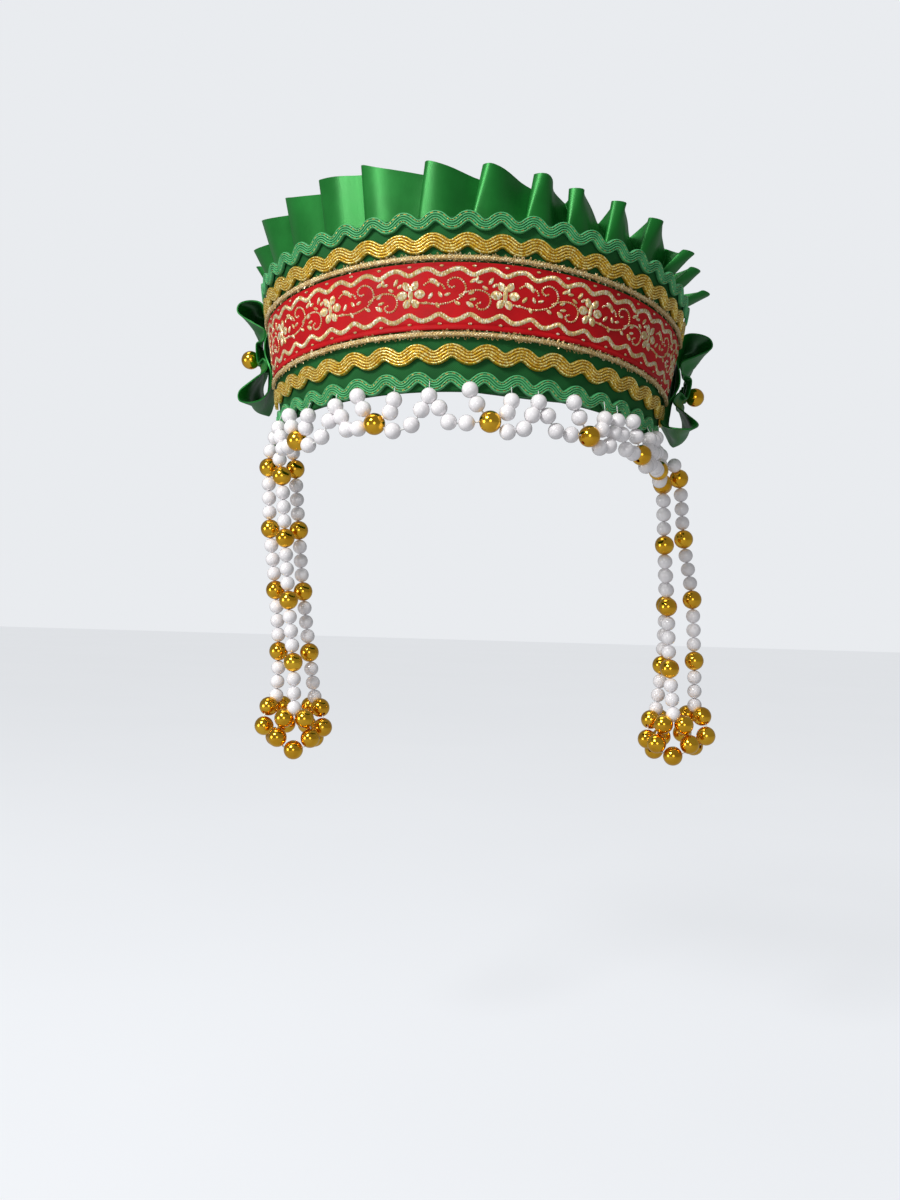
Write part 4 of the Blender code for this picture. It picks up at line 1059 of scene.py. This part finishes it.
tail = skin("bow_end_left", rings, satin, lay)
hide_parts("bow_tail_left")
print("ribbon end:", round(TAIL_LENGTH * 1000), "mm")

# %% [markdown]
# ## Beads
# A bead is a ball drilled through, so its section is turned round the hole: a round outside, a small lip
# and the wall of the hole. One turned section is made for a diameter and then copied in mesh code to
# each place, pointing along the thread.

# %% Turned bead
PEARL = 0.006
GOLD_BEAD = 0.008


def turned_bead(diameter, hole, around, steps):
    """Points and faces of a drilled ball about the z axis, as a closed ring of section points."""
    radius = diameter / 2
    opening = math.asin(hole / radius)
    angles = np.linspace(opening, math.pi - opening, steps)
    section = [(radius * math.sin(angle), radius * math.cos(angle)) for angle in angles]
    section += [(hole * 0.85, -radius * 0.90), (hole * 0.85, radius * 0.90)]
    turns = math.tau * np.arange(around) / around
    points = np.array([[(wide * math.cos(turn), wide * math.sin(turn), tall) for wide, tall in section]
                       for turn in turns])
    columns = len(section)
    faces = []
    for i in range(around):
        for j in range(columns):
            below = (i + 1) % around
            beside = (j + 1) % columns
            faces.append((i * columns + j, i * columns + beside, below * columns + beside, below * columns + j))
    return points.reshape(-1, 3), outward(faces, points)


BEADS = {"pearl": turned_bead(PEARL, 0.0005, 20, 13), "gold": turned_bead(GOLD_BEAD, 0.0007, 24, 15)}


def bead_shapes(kind, centres, ways):
    """Copies of a bead at places, each pointing along its thread."""
    points, faces = BEADS[kind]
    shapes = []
    for centre, way in zip(centres, ways):
        turned = Vector(way).to_track_quat("Z", "Y").to_matrix()
        placed = points @ np.array(turned).T + np.asarray(centre)
        shapes.append((placed, faces, placed[:, [0, 2]] * 1000))
    return shapes


for kind, (points, faces) in BEADS.items():
    print(kind, "bead:", len(faces), "faces")

# %% Gold bead on each knot
for side, bow in BOWS.items():
    knot_face = bow["stand_off"] + SOLID_CLOTH + SEWN_GAP + KNOT_THICKNESS + 0.0003 + bow["knot_lift"]
    centre = bow_points(side, 0.0, 0.0, knot_face + SEWN_GAP + GOLD_BEAD / 2)
    above = bow_points(side, 0.0, 0.01, knot_face + SEWN_GAP + GOLD_BEAD / 2)
    made = several(f"knot_bead_{side}", bead_shapes("gold", [centre], [above - centre]),
                   gold_bead_finish)
    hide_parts(f"bow_bead_{side}")

# %% [markdown]
# ## Pendants
# At each temple hang three strings of pearls with a gold bead after every third one, and each ends in a
# closed loop of five gold beads. A string isn't a loose cord: its beads keep it in shape. Each route is
# the solid's own, and the beads are set along it by their diameters.

# %% Routes of the strings
STRAND_ROUTES = {
    "left_outer": (((-0.0785, 0.0012, 0.0010), (-0.0808, 0.0018, -0.0060), (-0.0816, 0.0030, -0.0138),
                    (-0.0802, 0.0030, -0.0397), (-0.0772, 0.0030, -0.0657), (-0.0752, 0.0035, -0.0915),
                    (-0.0760, 0.0052, -0.1130)), -0.96),
    "left_front": (((-0.0772, -0.0046, -0.0056), (-0.0750, -0.0042, -0.0172), (-0.0728, -0.0046, -0.0433),
                    (-0.0706, -0.0046, -0.0693), (-0.0679, -0.0050, -0.0951), (-0.0665, -0.0072, -0.1170)), 0.0),
    "left_inner": (((-0.0738, 0.0050, -0.0008), (-0.0716, 0.0040, -0.0070), (-0.0705, 0.0036, -0.0134),
                    (-0.0682, 0.0034, -0.0394), (-0.0656, 0.0034, -0.0657), (-0.0622, 0.0036, -0.0913),
                    (-0.0592, 0.0052, -0.1130)), 0.96),
    "right_front": (((0.0828, -0.0012, -0.0027), (0.0834, -0.0012, -0.0078), (0.0849, 0.0002, -0.0158),
                     (0.0864, 0.0000, -0.0407), (0.0883, -0.0008, -0.0659), (0.0894, -0.0030, -0.0911),
                     (0.0912, -0.0073, -0.1150)), 0.0),
    "right_outer": (((0.0888, 0.0004, -0.0052), (0.0908, 0.0030, -0.0095), (0.0935, 0.0064, -0.0160),
                     (0.0957, 0.0062, -0.0393), (0.0997, 0.0050, -0.0640), (0.1010, 0.0034, -0.0892),
                     (0.1022, 0.0052, -0.1120)), 0.96),
    "right_inner": (((0.0846, 0.0044, -0.0064), (0.0856, 0.0086, -0.0112), (0.0878, 0.0136, -0.0187),
                     (0.0887, 0.0132, -0.0425), (0.0896, 0.0120, -0.0677), (0.0884, 0.0096, -0.0930),
                     (0.0855, 0.0056, -0.1140)), -0.96),
}
PEARLS_BETWEEN_GOLD = 3
GOLD_RINGS = 4
LOOP_BEADS = 5
LOOP_SLACK = 1.06
THREAD_RADIUS = 0.00035


def along_route(route, places):
    """Points and directions at distances along a finely divided route."""
    lengths = np.concatenate(([0.0], np.cumsum(np.linalg.norm(np.diff(route, axis=0), axis=1))))
    places = np.asarray(places)
    spots = np.stack([np.interp(places, lengths, route[:, axis]) for axis in range(3)], axis=1)
    ahead = np.stack([np.interp(places + 0.002, lengths, route[:, axis]) for axis in range(3)], axis=1)
    behind = np.stack([np.interp(places - 0.002, lengths, route[:, axis]) for axis in range(3)], axis=1)
    return spots, unit(ahead - behind), lengths[-1]


def pendant_string(name, points, facing):
    """Pearls, gold beads, end loop and thread of one string."""
    route = smooth_line(points, 16)
    total = along_route(route, [0.0])[2]
    step = PEARLS_BETWEEN_GOLD * PEARL + GOLD_BEAD
    first_gold = total - GOLD_RINGS * step
    golds = [first_gold + ring * step + GOLD_BEAD / 2 for ring in range(GOLD_RINGS)]
    pearls = [gold + GOLD_BEAD / 2 + PEARL * (k + 0.5) for gold in golds for k in range(PEARLS_BETWEEN_GOLD)]
    pearls += [first_gold - PEARL * (k + 0.5) for k in range(int(first_gold / PEARL + 0.3))]
    pearl_spots, pearl_ways, total = along_route(route, pearls)
    gold_spots, gold_ways, total = along_route(route, golds)
    radius = GOLD_BEAD * LOOP_SLACK / 2 / math.sin(math.pi / LOOP_BEADS)
    across = np.array([math.cos(facing), -math.sin(facing), 0.0])
    middle = np.array(points[-1]) - np.array([0.0, 0.0, radius])
    angles = math.tau * (np.arange(LOOP_BEADS) + 0.5) / LOOP_BEADS
    ring = middle + radius * (np.sin(angles)[:, None] * across + np.cos(angles)[:, None] * np.array([0, 0, 1]))
    ring_ways = np.cos(angles)[:, None] * across - np.sin(angles)[:, None] * np.array([0, 0, 1])
    turns = np.linspace(0, math.tau, 41)
    round_trip = middle + radius * (np.sin(turns)[:, None] * across + np.cos(turns)[:, None] * np.array([0, 0, 1]))
    pearl_piece = several(f"pearls_{name}", bead_shapes("pearl", pearl_spots, pearl_ways), pearl_finish)
    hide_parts(f"strand_{name}")
    several(f"golds_{name}", bead_shapes("gold", [*gold_spots, *ring], [*gold_ways, *ring_ways]),
            gold_bead_finish)
    several(f"thread_{name}", [tube_shape(route, THREAD_RADIUS, 6), tube_shape(round_trip, THREAD_RADIUS, 6)],
            thread_finish)
    return len(pearls), len(golds) + LOOP_BEADS


for name, (points, facing) in STRAND_ROUTES.items():
    print(name, "pearls and gold beads:", pendant_string(name, points, facing))

# %% [markdown]
# ## Pearl net
# Along the rim a string of pearls zigzags between pearls sewn to the rim and gold beads below it, and
# two short strings go up from every gold bead. Small white stitches hold it to the braid.

# %% Net of pearls
NET_STAND_OFF = 0.0036
NET_TOP = 0.0022
NET_DEPTH = 0.0088
NET_GOLD = (-0.0710, -0.0320, 0.0089, 0.0472, 0.0786, 0.1020)
NET_PEARLS = (-0.0905, -0.0490, -0.0123, 0.0260, 0.0614, 0.0910, 0.1125)
NET_FALL = ((0.17, 0.50), (0.33, 1.07), (0.62, 1.10))
NET_CLIMB = ((0.36, 1.36), (0.70, 1.16), (0.87, 0.56))
SHORT_STRINGS = ((-7.2, 0.0, -4.7, 5.0), (7.2, 3.0, 5.9, 7.3))


def net_points(arc, drop):
    """Places in the net: so far round the rim, in front of its edge and down from it."""
    spots = crown_points(turn_at(np.asarray(arc, float)), 0.0, NET_STAND_OFF)
    spots[..., 2] -= np.asarray(drop, float)
    return spots


net_pearls, net_golds, threads, stitches = [], [], [], []
line = [(-0.1150, NET_TOP)]
for k, gold in enumerate(NET_GOLD):
    before, after = NET_PEARLS[k], NET_PEARLS[k + 1]
    line.append((before, NET_TOP))
    net_pearls.append((before, NET_TOP))
    stitches.append(before)
    for share, depth in NET_FALL:
        line.append((before + share * (gold - before), NET_TOP + depth * NET_DEPTH))
        net_pearls.append(line[-1])
    line.append((gold, NET_TOP + NET_DEPTH))
    net_golds.append(line[-1])
    for share, depth in NET_CLIMB:
        line.append((gold + share * (after - gold), NET_TOP + depth * NET_DEPTH))
        net_pearls.append(line[-1])
    for top_arc, top_drop, low_arc, low_drop in SHORT_STRINGS:
        high = (gold + top_arc / 1000, top_drop / 1000)
        low = (gold + low_arc / 1000, low_drop / 1000)
        net_pearls.extend((high, low))
        threads.append((high, low, (gold, NET_TOP + NET_DEPTH)))
        stitches.append(high[0])
line.append((NET_PEARLS[-1], NET_TOP))
net_pearls.append(line[-1])
pearl_places = net_points(*zip(*net_pearls))
gold_places = net_points(*zip(*net_golds))
level_ways = unit(net_points(np.array([gold + 0.001 for gold, drop in net_golds]), 0.01) - gold_places)
pearl_ways = [(1.0, draw.random() - 0.5, draw.random() - 0.5) for spot in pearl_places]
pearls = several("net_pearls", bead_shapes("pearl", pearl_places, pearl_ways), pearl_finish)
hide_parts("pearl_net")
several("net_golds", bead_shapes("gold", gold_places, level_ways), gold_bead_finish)
strings = [tube_shape(smooth_line(net_points(*zip(*places)), 6), THREAD_RADIUS, 6) for places in [line, *threads]]
for arc in stitches:
    top = wrap([(arc, 0.0016 + 0.0022 * draw.random(), SEWN_GAP + 0.0018)], 0.0)[0]
    foot_point = net_points([arc], [0.0])[0]
    strings.append(tube_shape(np.array([foot_point, (top + foot_point) / 2, top]), 0.00014, 5))
several("net_thread", strings, thread_finish)
print("net:", len(net_pearls), "pearls and", len(net_golds), "gold beads")

# %% [markdown]
# ## Elastic
# A flat ribbed elastic closes the crown behind the head. It is sewn inside the band's ends, and its
# ribs run along it.

# %% Elastic at the back
ELASTIC_WIDTH = 0.018
ELASTIC_THICKNESS = 0.0015
ELASTIC_FOOT = 0.031
ELASTIC_LAP = 0.012
outer = -BAND_WALL - SEWN_GAP
first = float(turn_at(BAND_HALF_LENGTH - ELASTIC_LAP))
last = float(turn_at(ELASTIC_LAP - BAND_HALF_LENGTH)) + math.tau
heights = np.linspace(0.0, ELASTIC_WIDTH, 73)
ribs = 0.0001 * np.abs(np.sin(math.pi * heights / 0.0015))
face = [(ELASTIC_FOOT + height, outer - 0.0001 + rib) for height, rib in zip(heights, ribs)]
back = [(ELASTIC_FOOT + height, outer - ELASTIC_THICKNESS - rib + 0.0001) for height, rib in zip(heights, ribs)]
heights_all, outs_all = (np.array(values) for values in zip(*(face + back[::-1])))
turns = np.linspace(first, last, 181)
points = crown_points(turns[:, None], heights_all[None, :], outs_all[None, :])
run = np.cumsum(np.linalg.norm(np.diff(points[:, 0], axis=0, prepend=points[:1, 0]), axis=1)) * 1000
lay = np.stack(np.broadcast_arrays(run[:, None], heights_all[None, :] * 1000), axis=-1)
elastic = skin("ribbed_elastic", points, elastic_finish, lay)
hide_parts("back_elastic")
print("elastic:", round(float(run[-1])), "mm")
